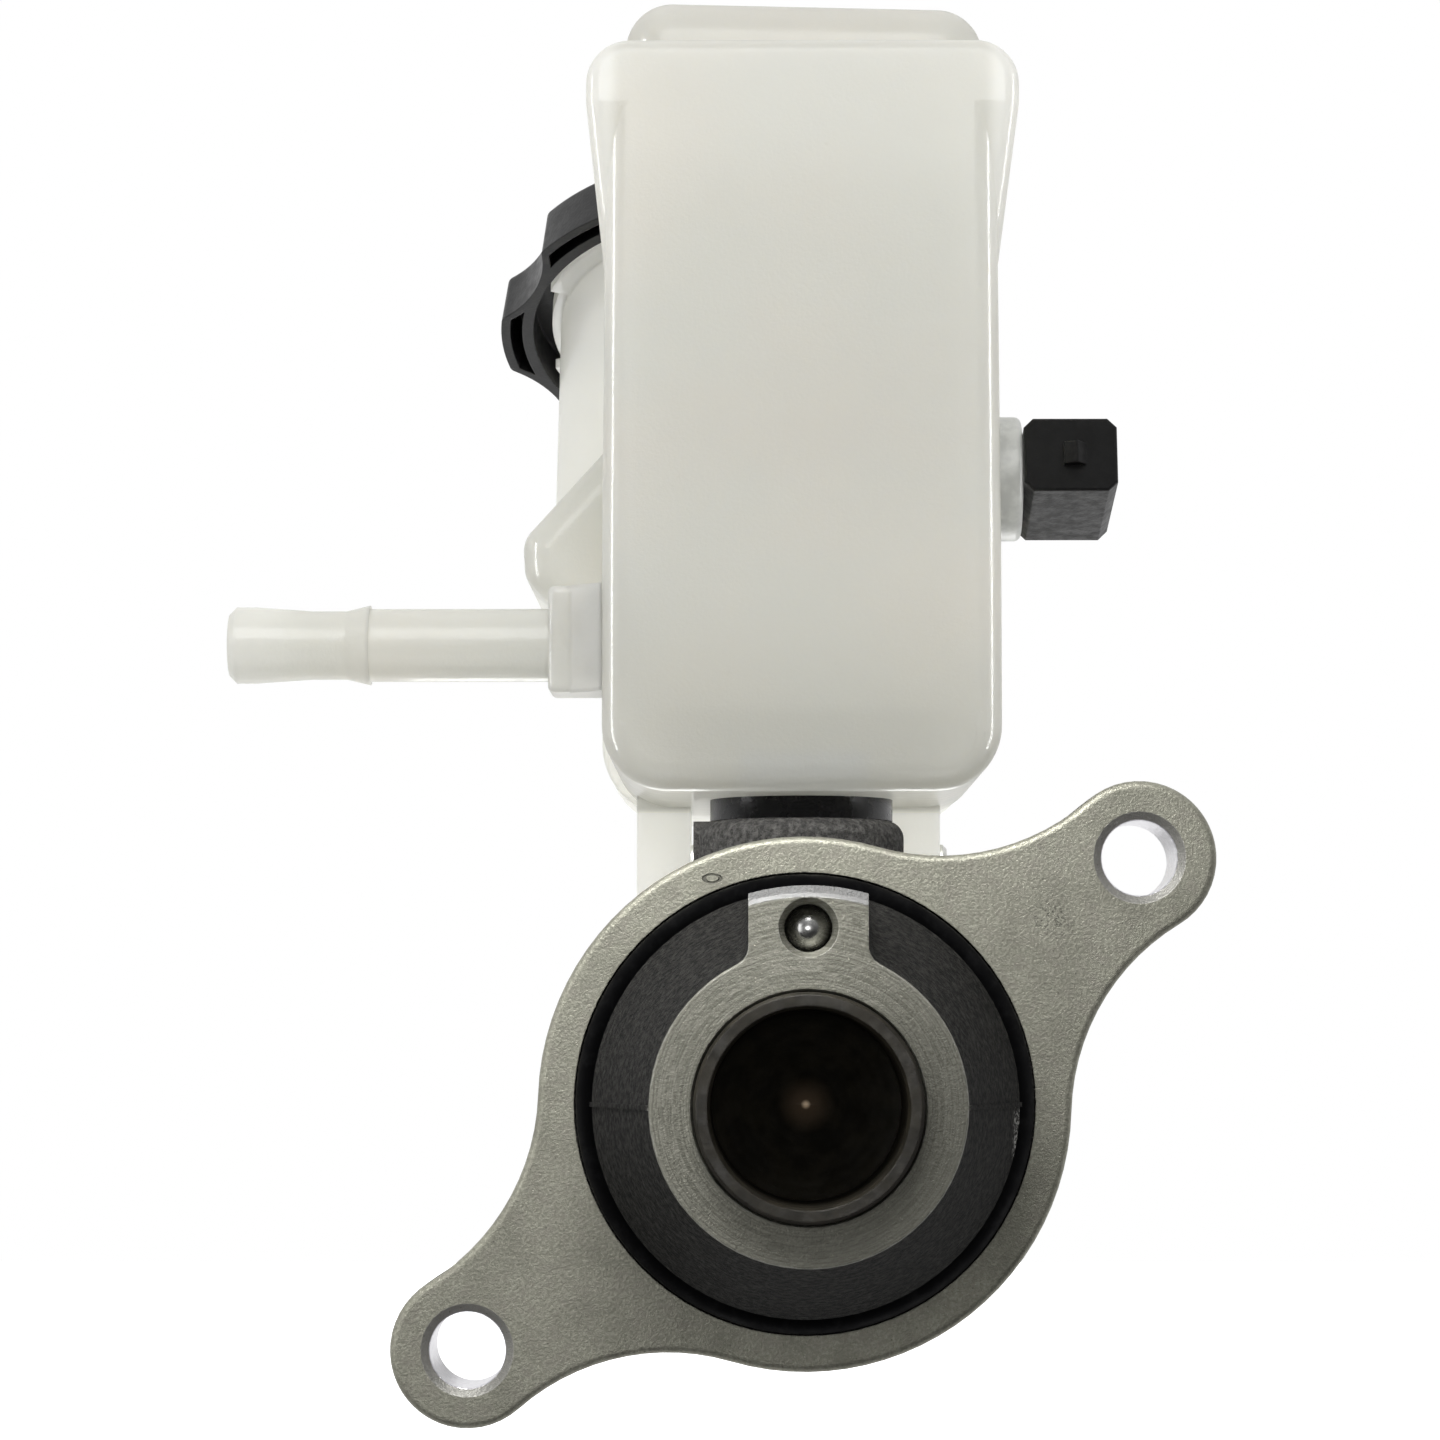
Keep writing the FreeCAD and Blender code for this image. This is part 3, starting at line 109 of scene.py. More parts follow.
# Colours of the cylinder body, painted shade and painted highlights among them: one, or the dark and light
# ends of a range
ALLOY = {
    "cast": ((0.005, 0.005, 0.005), (0.040, 0.039, 0.036)),
    # the same cast skin, painted lighter for the light falling on it behind the flange
    "barrel": ((0.038, 0.037, 0.036), (0.125, 0.122, 0.115)),
    "side": ((0.10, 0.099, 0.084), (0.19, 0.187, 0.158)),
    "blasted": ((0.255, 0.253, 0.205), (0.355, 0.351, 0.289)),
    "mottle": (0.265, 0.252, 0.215),
    "patch": (0.17, 0.170, 0.135),
    "sparkle": (0.64, 0.62, 0.52),
    "turned": ((0.170, 0.168, 0.137), (0.300, 0.296, 0.250)),
    "turned_sand": (0.20, 0.198, 0.160),
    "turned_sparkle": (0.70, 0.67, 0.55),
    "turned_painted_shade": (0.09, 0.089, 0.074),
    # painted highlight on the tab's chamfer
    "tab_chamfer_highlight": (0.21, 0.21, 0.205),
    "bolt_chamfer": (0.30, 0.295, 0.27),
    "bolt_bore": ((0.80, 0.79, 0.82), (0.93, 0.92, 0.95)),
    "dent": (0.07, 0.068, 0.056),
    # lighter edges: wear and painted edge highlight
    "edge_wear_and_highlight": (0.62, 0.61, 0.57),
    "scuff": (0.045, 0.044, 0.036),
    "burr": (0.60, 0.59, 0.56),
}

# Share of the light that passes through the reservoir's walls
TRANSLUCENCY = 0.50


class Shader:
    """A node material under construction: each method adds nodes and returns an output socket."""

    def __init__(self, name):
        self.material = bpy.data.materials.new(name)
        self.material.use_nodes = True
        self.tree = self.material.node_tree
        self.surface = self.tree.nodes["Principled BSDF"]
        self.place = self.node("ShaderNodeTexCoord").outputs["Object"]
        split = self.node("ShaderNodeSeparateXYZ")
        self.feed(split.inputs[0], self.place)
        self.x, self.y, self.z = split.outputs

    def node(self, kind, **settings):
        made = self.tree.nodes.new(kind)
        for key, value in settings.items():
            setattr(made, key, value)
        return made

    def feed(self, socket, value):
        if isinstance(value, bpy.types.NodeSocket):
            self.tree.links.new(value, socket)
        else:
            socket.default_value = value

    def math(self, operation, a, b=0.0, c=0.0):
        made = self.node("ShaderNodeMath", operation=operation)
        for socket, value in zip(made.inputs, (a, b, c)):
            self.feed(socket, value)
        return made.outputs[0]

    def times(self, first, *others):
        """The product of two or more numbers."""
        for other in others:
            first = self.math("MULTIPLY", first, other)
        return first

    def inside(self, value, limit, soft):
        """1 up to the limit, 0 from the soft width beyond it."""
        return self.ramp(value, limit + soft, limit)

    def outside(self, value, limit, soft):
        """1 from the limit on, 0 up to the soft width before it."""
        return self.ramp(value, limit - soft, limit)

    def noise(self, scale, detail=3.0, roughness=0.55, stretch=(1.0, 1.0, 1.0)):
        """Noise from 0 to 1; scale is in features per metre."""
        mapping = self.node("ShaderNodeMapping")
        self.feed(mapping.inputs["Vector"], self.place)
        mapping.inputs["Scale"].default_value = stretch
        made = self.node("ShaderNodeTexNoise")
        self.feed(made.inputs["Vector"], mapping.outputs[0])
        made.inputs["Scale"].default_value = scale
        made.inputs["Detail"].default_value = detail
        made.inputs["Roughness"].default_value = roughness
        return made.outputs["Fac"]

    def noise_of(self, x, y):
        """Noise over two numbers instead of the position."""
        where = self.node("ShaderNodeCombineXYZ")
        self.feed(where.inputs[0], x)
        self.feed(where.inputs[1], y)
        made = self.node("ShaderNodeTexNoise")
        self.feed(made.inputs["Vector"], where.outputs[0])
        made.inputs["Scale"].default_value = 1.0
        return made.outputs["Fac"]

    def cells(self, scale):
        """Distance to the nearest point of a scattered set."""
        made = self.node("ShaderNodeTexVoronoi")
        self.feed(made.inputs["Vector"], self.place)
        made.inputs["Scale"].default_value = scale
        return made.outputs["Distance"]

    def ramp(self, value, low, high, to_low=0.0, to_high=1.0):
        """Maps low..high smoothly to to_low..to_high."""
        made = self.node("ShaderNodeMapRange", interpolation_type="SMOOTHSTEP")
        for socket, v in zip(made.inputs, (value, low, high, to_low, to_high)):
            self.feed(socket, v)
        return made.outputs[0]

    def mix(self, factor, a, b):
        """Mixes two colours, each an RGB triple or a socket."""
        made = self.node("ShaderNodeMix", data_type="RGBA")
        self.feed(made.inputs["Factor"], factor)
        for name, value in (("A", a), ("B", b)):
            socket = [s for s in made.inputs if s.name == name and s.type == "RGBA"][0]
            self.feed(socket, (*value, 1.0) if isinstance(value, tuple) else value)
        return [s for s in made.outputs if s.type == "RGBA"][0]

    def blend(self, factor, a, b):
        """Mixes two numbers."""
        made = self.node("ShaderNodeMix", data_type="FLOAT")
        for index, value in ((0, factor), (2, a), (3, b)):
            self.feed(made.inputs[index], value)
        return made.outputs[0]

    def bump(self, height, distance, normal=None, strength=1.0):
        made = self.node("ShaderNodeBump")
        self.feed(made.inputs["Height"], height)
        made.inputs["Distance"].default_value = distance
        made.inputs["Strength"].default_value = strength
        if normal:
            self.feed(made.inputs["Normal"], normal)
        return made.outputs[0]

    def rounded(self, radius):
        """The normal with its sharp edges rounded."""
        made = self.node("ShaderNodeBevel", samples=4)
        made.inputs["Radius"].default_value = radius
        return made.outputs[0]

    def edges(self, rounded_normal):
        """1 near sharp edges, 0 elsewhere."""
        geometry = self.node("ShaderNodeNewGeometry")
        dot = self.node("ShaderNodeVectorMath", operation="DOT_PRODUCT")
        self.feed(dot.inputs[0], rounded_normal)
        self.feed(dot.inputs[1], geometry.outputs["Normal"])
        return self.ramp(dot.outputs["Value"], 0.98, 0.80)

    def distance(self, point, centre):
        """How far a point, given by two sockets, is from a centre."""
        squares = [self.math("POWER", self.math("SUBTRACT", p, c), 2.0) for p, c in zip(point, centre)]
        return self.math("SQRT", self.math("ADD", *squares))

    def radius_about_y(self):
        return self.distance((self.x, self.z), (0.0, 0.0))

    def finish(self, **inputs):
        for name, value in inputs.items():
            self.feed(self.surface.inputs[name.replace("_", " ")], value)
        return self.material


def grain(shader, colour, spread=0.12, scale=220.0):
    """The colour with slow light and dark patches."""
    dark = tuple(c * (1 - spread) for c in colour)
    light = tuple(min(1.0, c * (1 + spread)) for c in colour)
    return shader.mix(shader.ramp(shader.noise(scale), 0.35, 0.65), dark, light)


def body_regions(s, radius):
    """Masks, from 0 to 1, of the differently finished regions of the cylinder body, and of the places given
    painted light.
    """
    depth = s.math("ABSOLUTE", s.y)
    countersink = s.times(s.inside(s.y, *SINK_PLANE), s.inside(s.distance((s.x, s.z), CHANNEL_AT), *SINK_R))
    mouth = s.times(s.inside(s.y, *MOUTH_PLANE), s.inside(radius, *MOUTH_R))
    face = s.times(s.inside(depth, *FACE_DEPTH), s.outside(radius, *FACE_R))
    rounded_edge = s.times(s.inside(depth, *EDGE_DEPTH), s.outside(radius, *EDGE_R))
    along = s.math("ADD", s.times(s.x, math.cos(BOLT_ANGLE)), s.times(s.z, math.sin(BOLT_ANGLE)))
    across = s.math("SUBTRACT", s.times(s.z, math.cos(BOLT_ANGLE)), s.times(s.x, math.sin(BOLT_ANGLE)))
    from_bolt = s.distance((s.math("ABSOLUTE", along), across), BOLT_AT)
    return {
        "turned": s.math("MAXIMUM", s.inside(s.y, *END_PLANE), s.math("MAXIMUM", countersink, mouth)),
        "tab_chamfer_highlight": s.times(s.inside(s.y, *TAB_PLANE), s.outside(radius, *TAB_R)),
        "face": s.math("MAXIMUM", face, rounded_edge),
        "side": s.times(s.outside(s.y, *SIDE_START), s.inside(s.y, *SIDE_END), s.outside(radius, *SIDE_R)),
        "bolt_bore": s.inside(from_bolt, *BOLT_BORE_R),
        "bolt_chamfer": s.inside(from_bolt, *BOLT_CHAMFER_R),
        "barrel": s.outside(s.y, *BARREL_START),
    }


def alloy_colour(s, regions, sand, casting, rings):
    """The colours of the castings' skin, the blasted face and the turned faces, each in its region, with
    painted shade across the turned end face, a painted highlight on the tab's chamfer and the skin painted
    lighter behind the flange.
    """
    patches = s.noise(160.0, 4.0, 0.6)
    mottle = s.noise(520.0, 4.0, 0.65)
    sparkle = s.times(s.ramp(s.cells(1900.0), 0.16, 0.06), s.ramp(s.noise(420.0), 0.45, 0.60), 0.55)

    blasted = s.mix(sand, *ALLOY["blasted"])
    blasted = s.mix(s.ramp(mottle, 0.42, 0.66, 0.0, 0.55), blasted, ALLOY["mottle"])
    blasted = s.mix(s.ramp(patches, 0.40, 0.75, 0.0, 0.45), blasted, ALLOY["patch"])
    blasted = s.mix(sparkle, blasted, ALLOY["sparkle"])

    # Painted shade: the turned end face darkens from its upper left towards its lower right
    shade = s.ramp(s.math("SUBTRACT", s.x, s.z), -0.012, 0.022, 0.0, 0.62)
    turned = s.mix(s.ramp(rings, 0.35, 0.65), *ALLOY["turned"])
    turned = s.mix(s.times(sand, 0.45), turned, ALLOY["turned_sand"])
    turned = s.mix(sparkle, turned, ALLOY["turned_sparkle"])
    turned = s.mix(shade, turned, ALLOY["turned_painted_shade"])

    # Painted light: behind the flange, where the boss faces up into the light, the same cast skin gets a
    # lighter colour
    colour = s.mix(regions["barrel"], s.mix(casting, *ALLOY["cast"]), s.mix(casting, *ALLOY["barrel"]))
    colour = s.mix(regions["side"], colour, s.mix(sand, *ALLOY["side"]))
    colour = s.mix(regions["face"], colour, blasted)
    colour = s.mix(regions["bolt_chamfer"], colour, ALLOY["bolt_chamfer"])
    streaks = s.ramp(s.noise(1500.0), 0.35, 0.65)
    colour = s.mix(regions["bolt_bore"], colour, s.mix(streaks, *ALLOY["bolt_bore"]))
    colour = s.mix(regions["turned"], colour, turned)
    # Painted highlight: a light band along the chamfer on top of the tab
    return s.mix(regions["tab_chamfer_highlight"], colour, ALLOY["tab_chamfer_highlight"])


def dimple_rim(s, face):
    """A small oval ring stamped into the flange's face."""
    across = s.math("SUBTRACT", s.x, DIMPLE_AT[0])
    up = s.times(s.math("SUBTRACT", s.z, DIMPLE_AT[1]), 2.0)
    off_rim = s.math("ABSOLUTE", s.math("SUBTRACT", s.distance((across, up), (0.0, 0.0)), DIMPLE_R))
    return s.times(face, s.ramp(off_rim, 0.00028, 0.00012))


def with_damage(s, colour, face, dimple, bevelled):
    """The colour with its pits, edges lightened by wear and a painted highlight, scuffed spot and the burr
    on the mould seam.
    """
    pits = s.ramp(s.cells(900.0), 0.12, 0.04)
    edge_patches = s.ramp(s.noise(700.0), 0.42, 0.62)
    # The end face's sharp edges are lighter, partly from wear and partly as a painted edge highlight
    edge_wear_and_highlight = s.times(s.edges(bevelled), edge_patches, s.ramp(s.y, -0.0325, -0.0332, 0.0, 0.85))
    chips = s.ramp(s.noise(1700.0, 3.0, 0.8), 0.52, 0.60)
    near_scuff = s.inside(s.distance((s.x, s.z), SCUFF_AT), *SCUFF_R)
    seam = s.ramp(s.math("ABSOLUTE", s.math("ADD", s.z, 0.0033)), 0.0036, 0.0016)
    burr = s.times(seam, s.ramp(s.x, 0.0221, 0.0227), s.ramp(s.y, -0.0070, -0.0078))
    colour = s.mix(s.times(dimple, 0.75), colour, ALLOY["dent"])
    colour = s.mix(s.times(pits, face, 0.55), colour, ALLOY["dent"])
    colour = s.mix(edge_wear_and_highlight, colour, ALLOY["edge_wear_and_highlight"])
    colour = s.mix(s.times(chips, face, near_scuff, 0.8), colour, ALLOY["scuff"])
    return s.mix(s.times(burr, chips), colour, ALLOY["burr"])


def body_metal():
    """Cast aluminium: a blasted flange face, a turned end face, and dark raw casting elsewhere, whose skin
    behind the flange is painted lighter as painted light.
    """
    s = Shader("body_metal")
    radius = s.radius_about_y()
    regions = body_regions(s, radius)
    face, turned, bolt_bore = regions["face"], regions["turned"], regions["bolt_bore"]
    sand = s.ramp(s.noise(2500.0, 2.0, 0.75), 0.36, 0.66)
    speckle = s.noise(5200.0, 2.0, 0.7)
    casting = s.ramp(s.noise(1300.0, 4.0, 0.8), 0.34, 0.68)
    rings = s.noise_of(s.times(radius, 4600.0), s.times(s.noise(260.0), 6.0))
    bevelled = s.rounded(0.00018)
    dimple = dimple_rim(s, face)
    colour = with_damage(s, alloy_colour(s, regions, sand, casting, rings), face, dimple, bevelled)

    machined = s.math("MAXIMUM", s.math("MAXIMUM", turned, face), regions["bolt_chamfer"])
    rough = s.blend(machined, s.ramp(speckle, 0.3, 0.7, 0.70, 0.85), s.ramp(speckle, 0.3, 0.7, 0.42, 0.58))
    height = s.times(casting, s.blend(machined, 1.0, 0.05))
    height = s.math("ADD", height, s.times(sand, s.blend(machined, 0.20, 0.10)))
    height = s.math("ADD", height, s.times(turned, rings, 0.10))
    height = s.math("SUBTRACT", height, s.times(dimple, 0.9))
    tangent = s.node("ShaderNodeTangent", direction_type="RADIAL", axis="Y").outputs[0]
    return s.finish(Base_Color=colour, Metallic=s.blend(bolt_bore, s.times(machined, 0.70), 1.0),
                    Roughness=s.blend(bolt_bore, rough, 0.30),
                    Specular_IOR_Level=s.blend(machined, 0.06, 0.50),
                    Anisotropic=s.times(turned, 0.40), Anisotropic_Rotation=0.25, Tangent=tangent,
                    Normal=s.bump(height, 0.00022, bevelled))


def plain_metal(name, colour, roughness, lines=0.0):
    """Machined metal with fine turning marks along Y, smears and a little tarnish."""
    s = Shader(name)
    streaks = s.noise(900.0, 3.0, 0.6, stretch=(1.0, 6.0, 1.0))
    tint = grain(s, colour, 0.15, 300.0)
    rough = s.ramp(streaks, 0.3, 0.7, roughness * 0.75, roughness * 1.3)
    bevelled = s.rounded(0.00015)
    height = s.math("ADD", s.times(streaks, 0.3), s.times(s.math("SINE", s.times(s.y, 21000.0)), lines))
    return s.finish(Base_Color=tint, Metallic=1.0, Roughness=rough, Normal=s.bump(height, 0.00002, bevelled))


def anodised():
    """Brown hard-anodised aluminium, lighter along its edges from wear and a painted edge highlight, with a
    painted glow and glint at the bottom of the push-rod socket.
    """
    s = Shader("anodised")
    tint = grain(s, (0.014, 0.012, 0.008), 0.30, 400.0)
    radius = s.radius_about_y()
    in_socket = s.times(s.ramp(s.y, -0.0160, -0.0140), s.ramp(s.y, -0.0070, -0.0080))
    # Painted light at the bottom of the push-rod socket: a lighter brown glow round the drill point and a
    # bright painted glint at its tip
    tint = s.mix(s.times(in_socket, s.ramp(radius, 0.0034, 0.0)), tint, (0.11, 0.078, 0.050))
    tint = s.mix(s.times(in_socket, s.ramp(radius, 0.0006, 0.0001)), tint, (0.95, 0.74, 0.52))
    bevelled = s.rounded(0.00025)
    # Edges lighter, partly from wear and partly as a painted edge highlight
    edge_wear_and_highlight = s.times(s.edges(bevelled), s.ramp(s.noise(350.0), 0.40, 0.70), 0.35)
    colour = s.mix(edge_wear_and_highlight, tint, (0.20, 0.19, 0.17))
    rings = s.math("SINE", s.times(s.y, 9000.0))
    height = s.math("ADD", s.noise(1800.0), s.times(rings, 0.2))
    return s.finish(Base_Color=colour, Metallic=0.15, Specular_IOR_Level=0.25,
                    Roughness=s.ramp(s.noise(500.0), 0.3, 0.7, 0.36, 0.52),
                    Normal=s.bump(height, 0.00003, bevelled))


def rubber(name, sheen, gloss):
    """Black rubber with a faint bloom and moulding grain."""
    s = Shader(name)
    colour = s.mix(s.ramp(s.noise(600.0), 0.45, 0.8), (0.008, 0.008, 0.009), (0.020, 0.020, 0.021))
    rough = s.ramp(s.noise(260.0), 0.3, 0.7, sheen * 0.8, sheen * 1.25)
    return s.finish(Base_Color=colour, Roughness=rough, Normal=s.bump(s.noise(2600.0), 0.00003),
                    Specular_IOR_Level=gloss)


def moulded(name, colour, roughness, texture=0.00003, scale=2400.0):
    """Opaque moulded plastic with a fine spark-eroded texture and scuffed edges."""
    s = Shader(name)
    bevelled = s.rounded(0.0003)
    scuffed = tuple(min(1.0, c * 2.2 + 0.02) for c in colour)
    tint = grain(s, colour, 0.12, 350.0)
    tint = s.mix(s.times(s.edges(bevelled), 0.30), tint, scuffed)
    rough = s.ramp(s.noise(700.0), 0.3, 0.7, roughness * 0.85, roughness * 1.2)
    height = s.math("ADD", s.noise(scale), s.times(s.noise(scale / 8), 0.6))
    return s.finish(Base_Color=tint, Roughness=rough, Normal=s.bump(height, texture, bevelled))


def natural_plastic():
    """Translucent natural plastic: milky, a little warmer in the middle, with painted shade towards the
    bottom and over the inner floor, and painted light where light passes through from behind.
    """
    s = Shader("natural_plastic")
    clouds = s.noise(45.0, 2.0, 0.5)
    specks = s.ramp(s.cells(160.0), 0.05, 0.02)
    colour = s.mix(s.ramp(clouds, 0.3, 0.7), (0.800, 0.800, 0.758), (0.815, 0.797, 0.750))
    # Painted shade: the plastic darkens towards the bottom
    colour = s.mix(s.ramp(s.z, 0.0620, 0.0350), colour, (0.66, 0.66, 0.62))
    sideways = s.math("ABSOLUTE", s.x)
    wing = s.times(s.ramp(sideways, 0.0205, 0.0225), s.ramp(s.z, 0.085, 0.100))
    legs = s.ramp(s.z, 0.0350, 0.0340)
    # Painted light: the wings, the back and the legs, which light passes through from behind, get a lighter
    # colour and a faint glow of their own
    painted_backlight = s.math("MAXIMUM", s.math("MAXIMUM", wing, s.ramp(s.y, 0.060, 0.064)), legs)
    painted_glow = s.math("ADD", s.times(painted_backlight, 0.15), s.times(legs, 0.25))
    colour = s.mix(painted_backlight, colour, (0.93, 0.93, 0.895))
    behind = s.ramp(s.y, 0.0200, 0.0150)
    # Painted shade over the inner floor, where it shows through the wall
    inner_floor = s.times(s.ramp(s.z, 0.0450, 0.0430), s.ramp(sideways, 0.0200, 0.0110), behind)
    colour = s.mix(s.times(inner_floor, 0.40), colour, (0.56, 0.56, 0.53))
    foot = s.times(s.ramp(sideways, 0.0085, 0.0060), s.ramp(s.z, 0.0400, 0.0385), behind)
    colour = s.mix(s.times(foot, 0.22), colour, (0.52, 0.56, 0.64))
    colour = s.mix(s.times(specks, 0.25), colour, (0.62, 0.60, 0.54))
    height = s.math("ADD", s.noise(2200.0, 3.0, 0.7), s.times(s.noise(90.0, 2.0), 2.5))
    normal = s.bump(height, 0.00003, s.rounded(0.0008))
    material = s.finish(Base_Color=colour, Roughness=s.ramp(s.noise(300.0), 0.3, 0.7, 0.34, 0.46),
                        Subsurface_Weight=0.55, Subsurface_Scale=0.004, Coat_Weight=0.8,
                        Coat_Roughness=s.ramp(s.noise(400.0), 0.3, 0.7, 0.06, 0.14), Normal=normal,
                        Emission_Color=colour, Emission_Strength=painted_glow)
    s.surface.inputs["Subsurface Radius"].default_value = (1.0, 0.95, 0.85)
    glow = s.node("ShaderNodeBsdfTranslucent")
    s.feed(glow.inputs["Color"], s.mix(s.ramp(clouds, 0.3, 0.7), (0.93, 0.93, 0.90), (0.95, 0.94, 0.90)))
    s.feed(glow.inputs["Normal"], normal)
    both = s.node("ShaderNodeMixShader")
    both.inputs[0].default_value = TRANSLUCENCY
    s.feed(both.inputs[1], s.surface.outputs[0])
    s.feed(both.inputs[2], glow.outputs[0])
    s.feed(s.tree.nodes["Material Output"].inputs["Surface"], both.outputs[0])
    return material


def switch_glass():
    s = Shader("switch_glass")
    return s.finish(Base_Color=grain(s, (0.75, 0.85, 0.80), 0.05), Transmission_Weight=0.9,
                    Roughness=s.ramp(s.noise(500.0), 0.3, 0.7, 0.03, 0.08),
                    Normal=s.bump(s.noise(800.0), 0.00002))


def paint(material, *names):
    for name in names:
        for place in nodes[name].material_slots:
            place.material = material


def spring(name, size, body, material):
    """A coil spring along Y with closed, ground ends, in place of its plain CAD solid."""
    start = size["from"] + size["wire"]
    length = size["to"] - size["from"] - 2 * size["wire"]
    turns = size["turns"] + 2 * SPRING_DEAD_TURNS
    steps = int(turns * STEPS_PER_TURN)
    dead = SPRING_DEAD_TURNS / turns
    closed = size["wire"] * 2
    points = []
    for i in range(steps + 1):
        t = i / steps
        if t < dead:
            along = closed * t / dead
        elif t > 1 - dead:
            along = length - closed * (1 - t) / dead
        else:
            along = closed + (length - 2 * closed) * (t - dead) / (1 - 2 * dead)
        turn = 2 * math.pi * turns * t
        points.append(Vector((size["mean"] * math.cos(turn), start + along, size["mean"] * math.sin(turn))))
    verts, faces = [], []
    for i, centre in enumerate(points):
        outward = Vector((centre.x, 0.0, centre.z)).normalized()
        for k in range(WIRE_SIDES):
            a = 2 * math.pi * k / WIRE_SIDES
            corner = centre + (outward * math.cos(a) + Vector((0, 1, 0)) * math.sin(a)) * size["wire"]
            corner.y = min(max(corner.y, size["from"]), size["to"])
            verts.append(corner)
    for i in range(len(points) - 1):
        here, ahead = i * WIRE_SIDES, (i + 1) * WIRE_SIDES
        for k in range(WIRE_SIDES):
            j = (k + 1) % WIRE_SIDES
            faces.append((here + k, here + j, ahead + j, ahead + k))
    last = (len(points) - 1) * WIRE_SIDES
    faces.append(tuple(range(WIRE_SIDES)))
    faces.append(tuple(last + k for k in reversed(range(WIRE_SIDES))))
    mesh = bpy.data.meshes.new(name)
    mesh.from_pydata(verts, [], faces)
    mesh.shade_smooth()
    coil = bpy.data.objects.new(name, mesh)
    bpy.context.collection.objects.link(coil)
    mesh.materials.append(material)
    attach(coil, body)
    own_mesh(coil)
    return coil


def floor():
    """A plain pale floor under the object."""
    low, high = cad_bounds
    middle = (Vector(low) + Vector(high)) / 2
    level = low[2] - FLOOR_GAP
    corners = [(middle.x + sx * FLOOR_HALF, middle.y + sy * FLOOR_HALF, level)
               for sx, sy in ((-1, -1), (1, -1), (1, 1), (-1, 1))]
    mesh = bpy.data.meshes.new("floor")
    mesh.from_pydata(corners, [], [(0, 1, 2, 3)])
    ground = bpy.data.objects.new("floor", mesh)
    bpy.context.collection.objects.link(ground)
    s = Shader("floor")
    mesh.materials.append(s.finish(Base_Color=grain(s, (0.93, 0.93, 0.93), 0.01, 8.0), Roughness=0.8,
                                   Emission_Color=(1.0, 1.0, 1.0, 1.0), Emission_Strength=1.0))
    ground.visible_diffuse = False
    ground.visible_glossy = False


def sky():
    """A white tent: bright behind the object, dim in front, darkest in front below."""
    world = bpy.data.worlds.new("studio")
    world.use_nodes = True
    bpy.context.scene.world = world
    tree = world.node_tree
    links = tree.links
    plain = tree.nodes["Background"]
    plain.inputs["Color"].default_value = SKY_WHITE
    tent = tree.nodes.new("ShaderNodeBackground")
    split = tree.nodes.new("ShaderNodeSeparateXYZ")
    links.new(tree.nodes.new("ShaderNodeTexCoord").outputs["Generated"], split.inputs[0])

    def ramp(value, low, high, to_low, to_high):
        made = tree.nodes.new("ShaderNodeMapRange")
        made.interpolation_type = "SMOOTHSTEP"
        links.new(value, made.inputs["Value"])
        for key, number in (("From Min", low), ("From Max", high), ("To Min", to_low), ("To Max", to_high)):
            made.inputs[key].default_value = number
        return made.outputs[0]

    front = ramp(split.outputs[2], -0.45, 0.85, SKY_FRONT[0], SKY_FRONT[1])
    back = ramp(split.outputs[2], -0.45, 0.85, SKY_BACK[0], SKY_BACK[1])
    turned_back = ramp(split.outputs[1], -0.45, 0.25, 0.0, 1.0)
    strength = tree.nodes.new("ShaderNodeMix")
    for index, socket in ((0, turned_back), (2, front), (3, back)):
        links.new(socket, strength.inputs[index])
    links.new(strength.outputs[0], tent.inputs["Strength"])
    both = tree.nodes.new("ShaderNodeMixShader")
    links.new(tree.nodes.new("ShaderNodeLightPath").outputs["Is Camera Ray"], both.inputs[0])
    links.new(tent.outputs[0], both.inputs[1])
    links.new(plain.outputs[0], both.inputs[2])
    links.new(both.outputs[0], tree.nodes["World Output"].inputs["Surface"])


def softbox(name, at, target, size, power, lit):
    """A rectangular lamp for the named nodes only, out of the camera's sight."""
    data = bpy.data.lights.new(name, "AREA")
    data.shape = "RECTANGLE"
    data.size, data.size_y = size
    data.energy = power
    lamp = bpy.data.objects.new(name, data)
    bpy.context.collection.objects.link(lamp)
    lamp.location = at
    lamp.rotation_euler = (Vector(target) - Vector(at)).to_track_quat("-Z", "Y").to_euler()
    lamp.visible_camera = False
    group = bpy.data.collections.new(name + "_group")
    for node in lit:
        group.objects.link(nodes[node])
    lamp.light_linking.receiver_collection = group
    lamp.light_linking.blocker_collection = group
    return lamp


def camera():
    data = bpy.data.cameras.new("camera")
    data.sensor_width = SENSOR_WIDTH
    data.lens = FOCAL_LENGTH
    data.clip_start = 0.01
    seen_from = bpy.data.objects.new("camera", data)
    bpy.context.collection.objects.link(seen_from)
    seen_from.location = CAMERA_AT
    seen_from.rotation_euler = (math.radians(90 + CAMERA_PITCH), 0.0, math.radians(CAMERA_YAW))
    bpy.context.scene.camera = seen_from


# Nodes that share a material or a lamp
RESERVOIR = ("reservoir_tank", "reservoir_front", "hose_nipple", "sensor_pocket", "reservoir_upper_shell")
PALE = RESERVOIR + ("sensor_body",)
DEEP = ("channel_ball", "primary_piston")
METAL = ("cylinder_body", "primary_piston", "channel_ball", "retaining_pin")

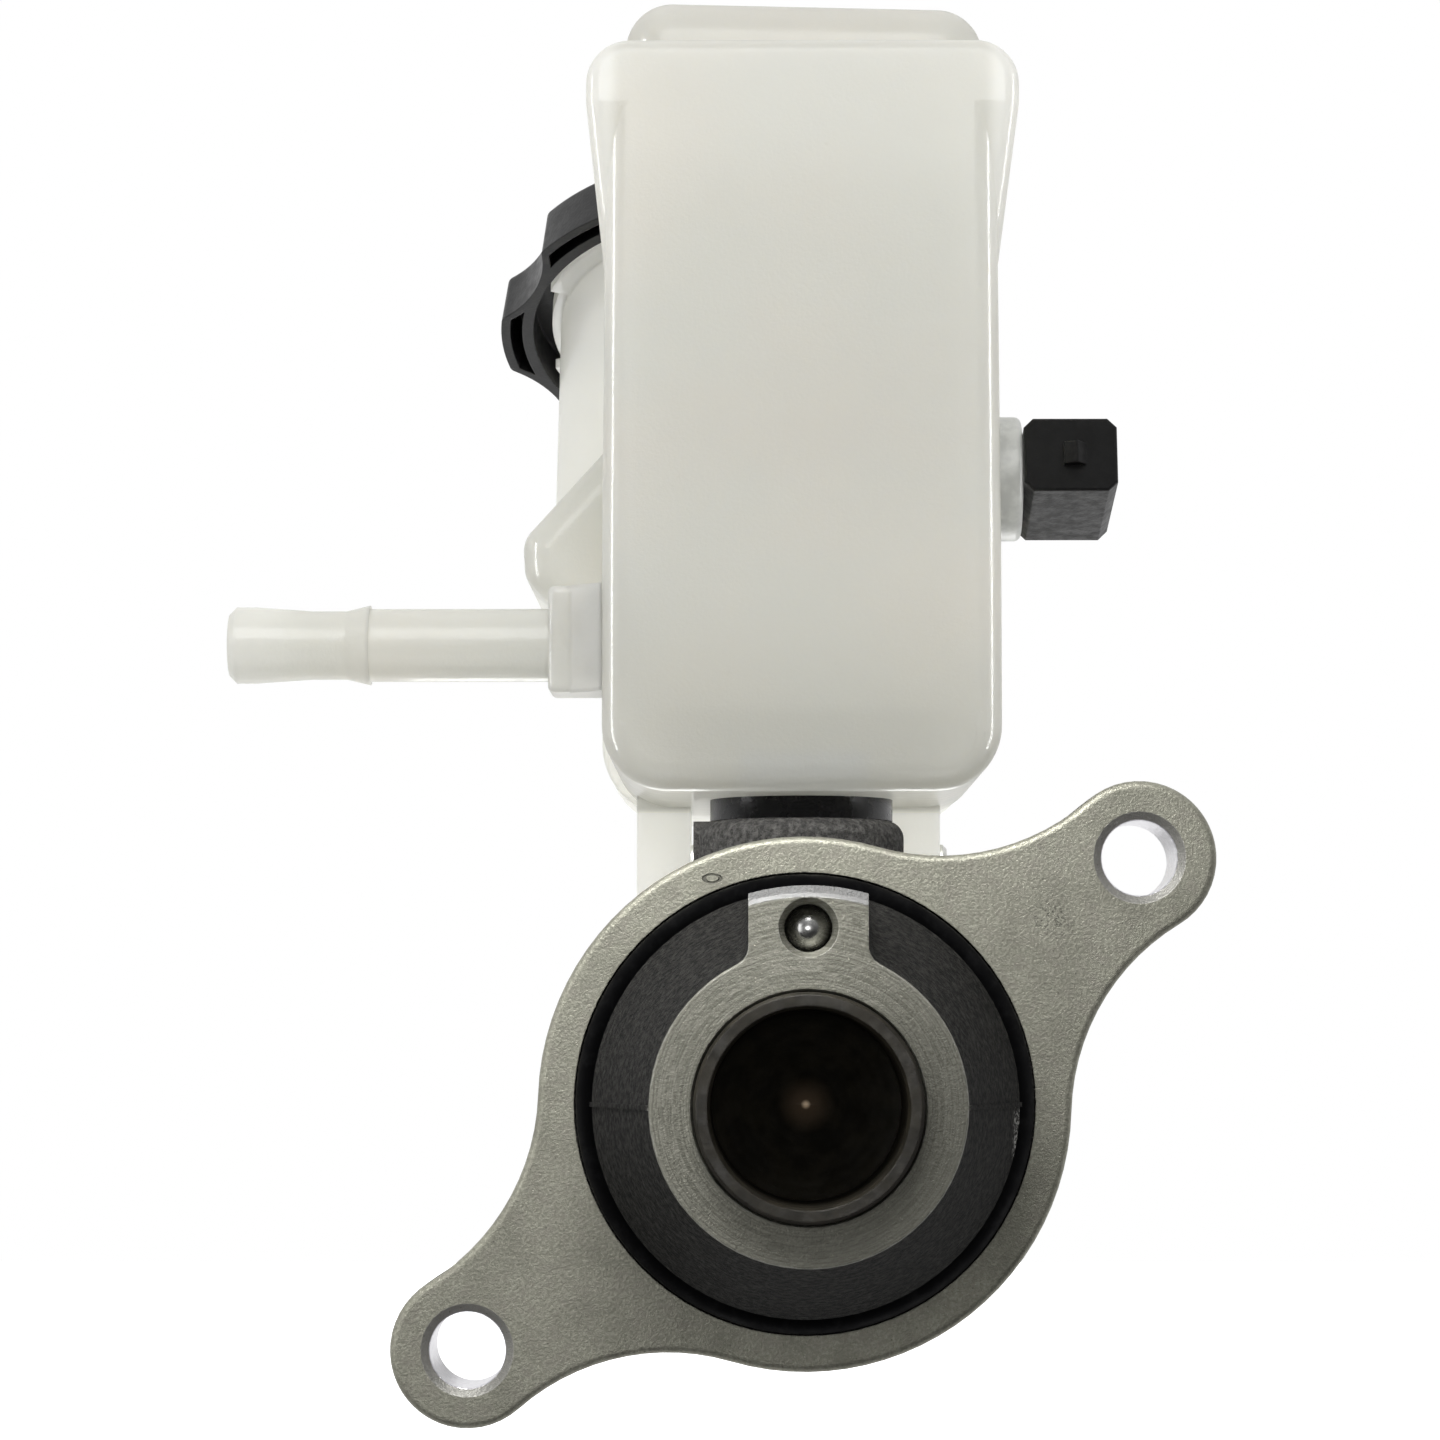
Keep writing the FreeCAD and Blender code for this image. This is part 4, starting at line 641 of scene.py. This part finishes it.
# Materials on the CAD nodes
steel = plain_metal("steel", (0.42, 0.42, 0.41), 0.22)
spring_steel = plain_metal("spring_steel", (0.20, 0.20, 0.21), 0.30)
black_rubber = rubber("black_rubber", 0.40, 0.5)
paint(body_metal(), "cylinder_body")
paint(anodised(), "primary_piston", "secondary_piston")
paint(steel, "channel_ball", "stop_pin", "captive_screw", "spring_seat")
paint(plain_metal("zinc", (0.74, 0.74, 0.71), 0.50), "retaining_pin")
paint(black_rubber, "outer_seal", "primary_cup", "separating_cup", "secondary_cup", "sensor_oring",
      "cap_gasket")
paint(rubber("glossy_rubber", 0.26, 0.35), "rear_grommet", "front_grommet")
paint(rubber("matt_rubber", 0.65, 0.10), "flange_oring")
paint(natural_plastic(), *RESERVOIR)
paint(moulded("cap_plastic", (0.012, 0.012, 0.013), 0.36), "filler_cap")
paint(moulded("plug_plastic", (0.008, 0.008, 0.008), 0.48, 0.00004), "sensor_connector")
paint(moulded("grey_plastic", (0.64, 0.65, 0.62), 0.34), "sensor_body")
paint(moulded("white_plastic", (0.78, 0.78, 0.76), 0.40), "guide_ring", "filler_strainer", "level_float")
paint(plain_metal("tinned_brass", (0.62, 0.58, 0.47), 0.28), "connector_terminals")
paint(plain_metal("magnet", (0.06, 0.06, 0.065), 0.55), "float_magnet")
paint(switch_glass(), "reed_switch")

# Springs, built as coils in place of the CAD spring solids
primary_coil = spring("primary_coil", PRIMARY_SPRING, "primary",
                      spring_steel)
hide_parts("primary_spring")
secondary_coil = spring("secondary_coil", SECONDARY_SPRING, "housing",
                        spring_steel)
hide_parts("secondary_spring")

# Studio
sky()
floor()
softbox("metal_key", (-0.030, -0.085, 0.120), (0.0, 0.0, 0.01), (0.10, 0.04), 0.31, METAL)
softbox("metal_front", (-0.02, -0.55, 0.03), (0.0, 0.0, 0.0), (0.20, 0.10), 0.24, METAL)
softbox("metal_fill", (-0.35, -0.30, 0.03), (0.0, 0.0, 0.0), (0.30, 0.30), 0.6, METAL)
softbox("pale_fill", (-0.05, -0.50, 0.40), (0.0, 0.03, 0.07), (0.50, 0.40), 2.7, PALE)
softbox("pale_glow", (0.0, -0.30, -0.35), (0.0, 0.03, 0.05), (0.50, 0.40), 0.75, PALE)
softbox("under_glow", (0.0, 0.170, -0.060), (0.0, 0.050, 0.030), (0.12, 0.08), 0.15, PALE)
softbox("front_dot", (-0.006, -0.55, 0.03), (0.0, 0.0, 0.01), (0.03, 0.03), 0.30, DEEP)
for side in (-1, 1):
    strip = softbox("edge_strip", (side * 0.45, -0.10, 0.08), (0.0, 0.01, 0.08), (0.08, 0.45), 2.5, PALE)
    strip.visible_diffuse = False
    strip.visible_transmission = False
camera()
bpy.context.scene.view_settings.view_transform = "Standard"
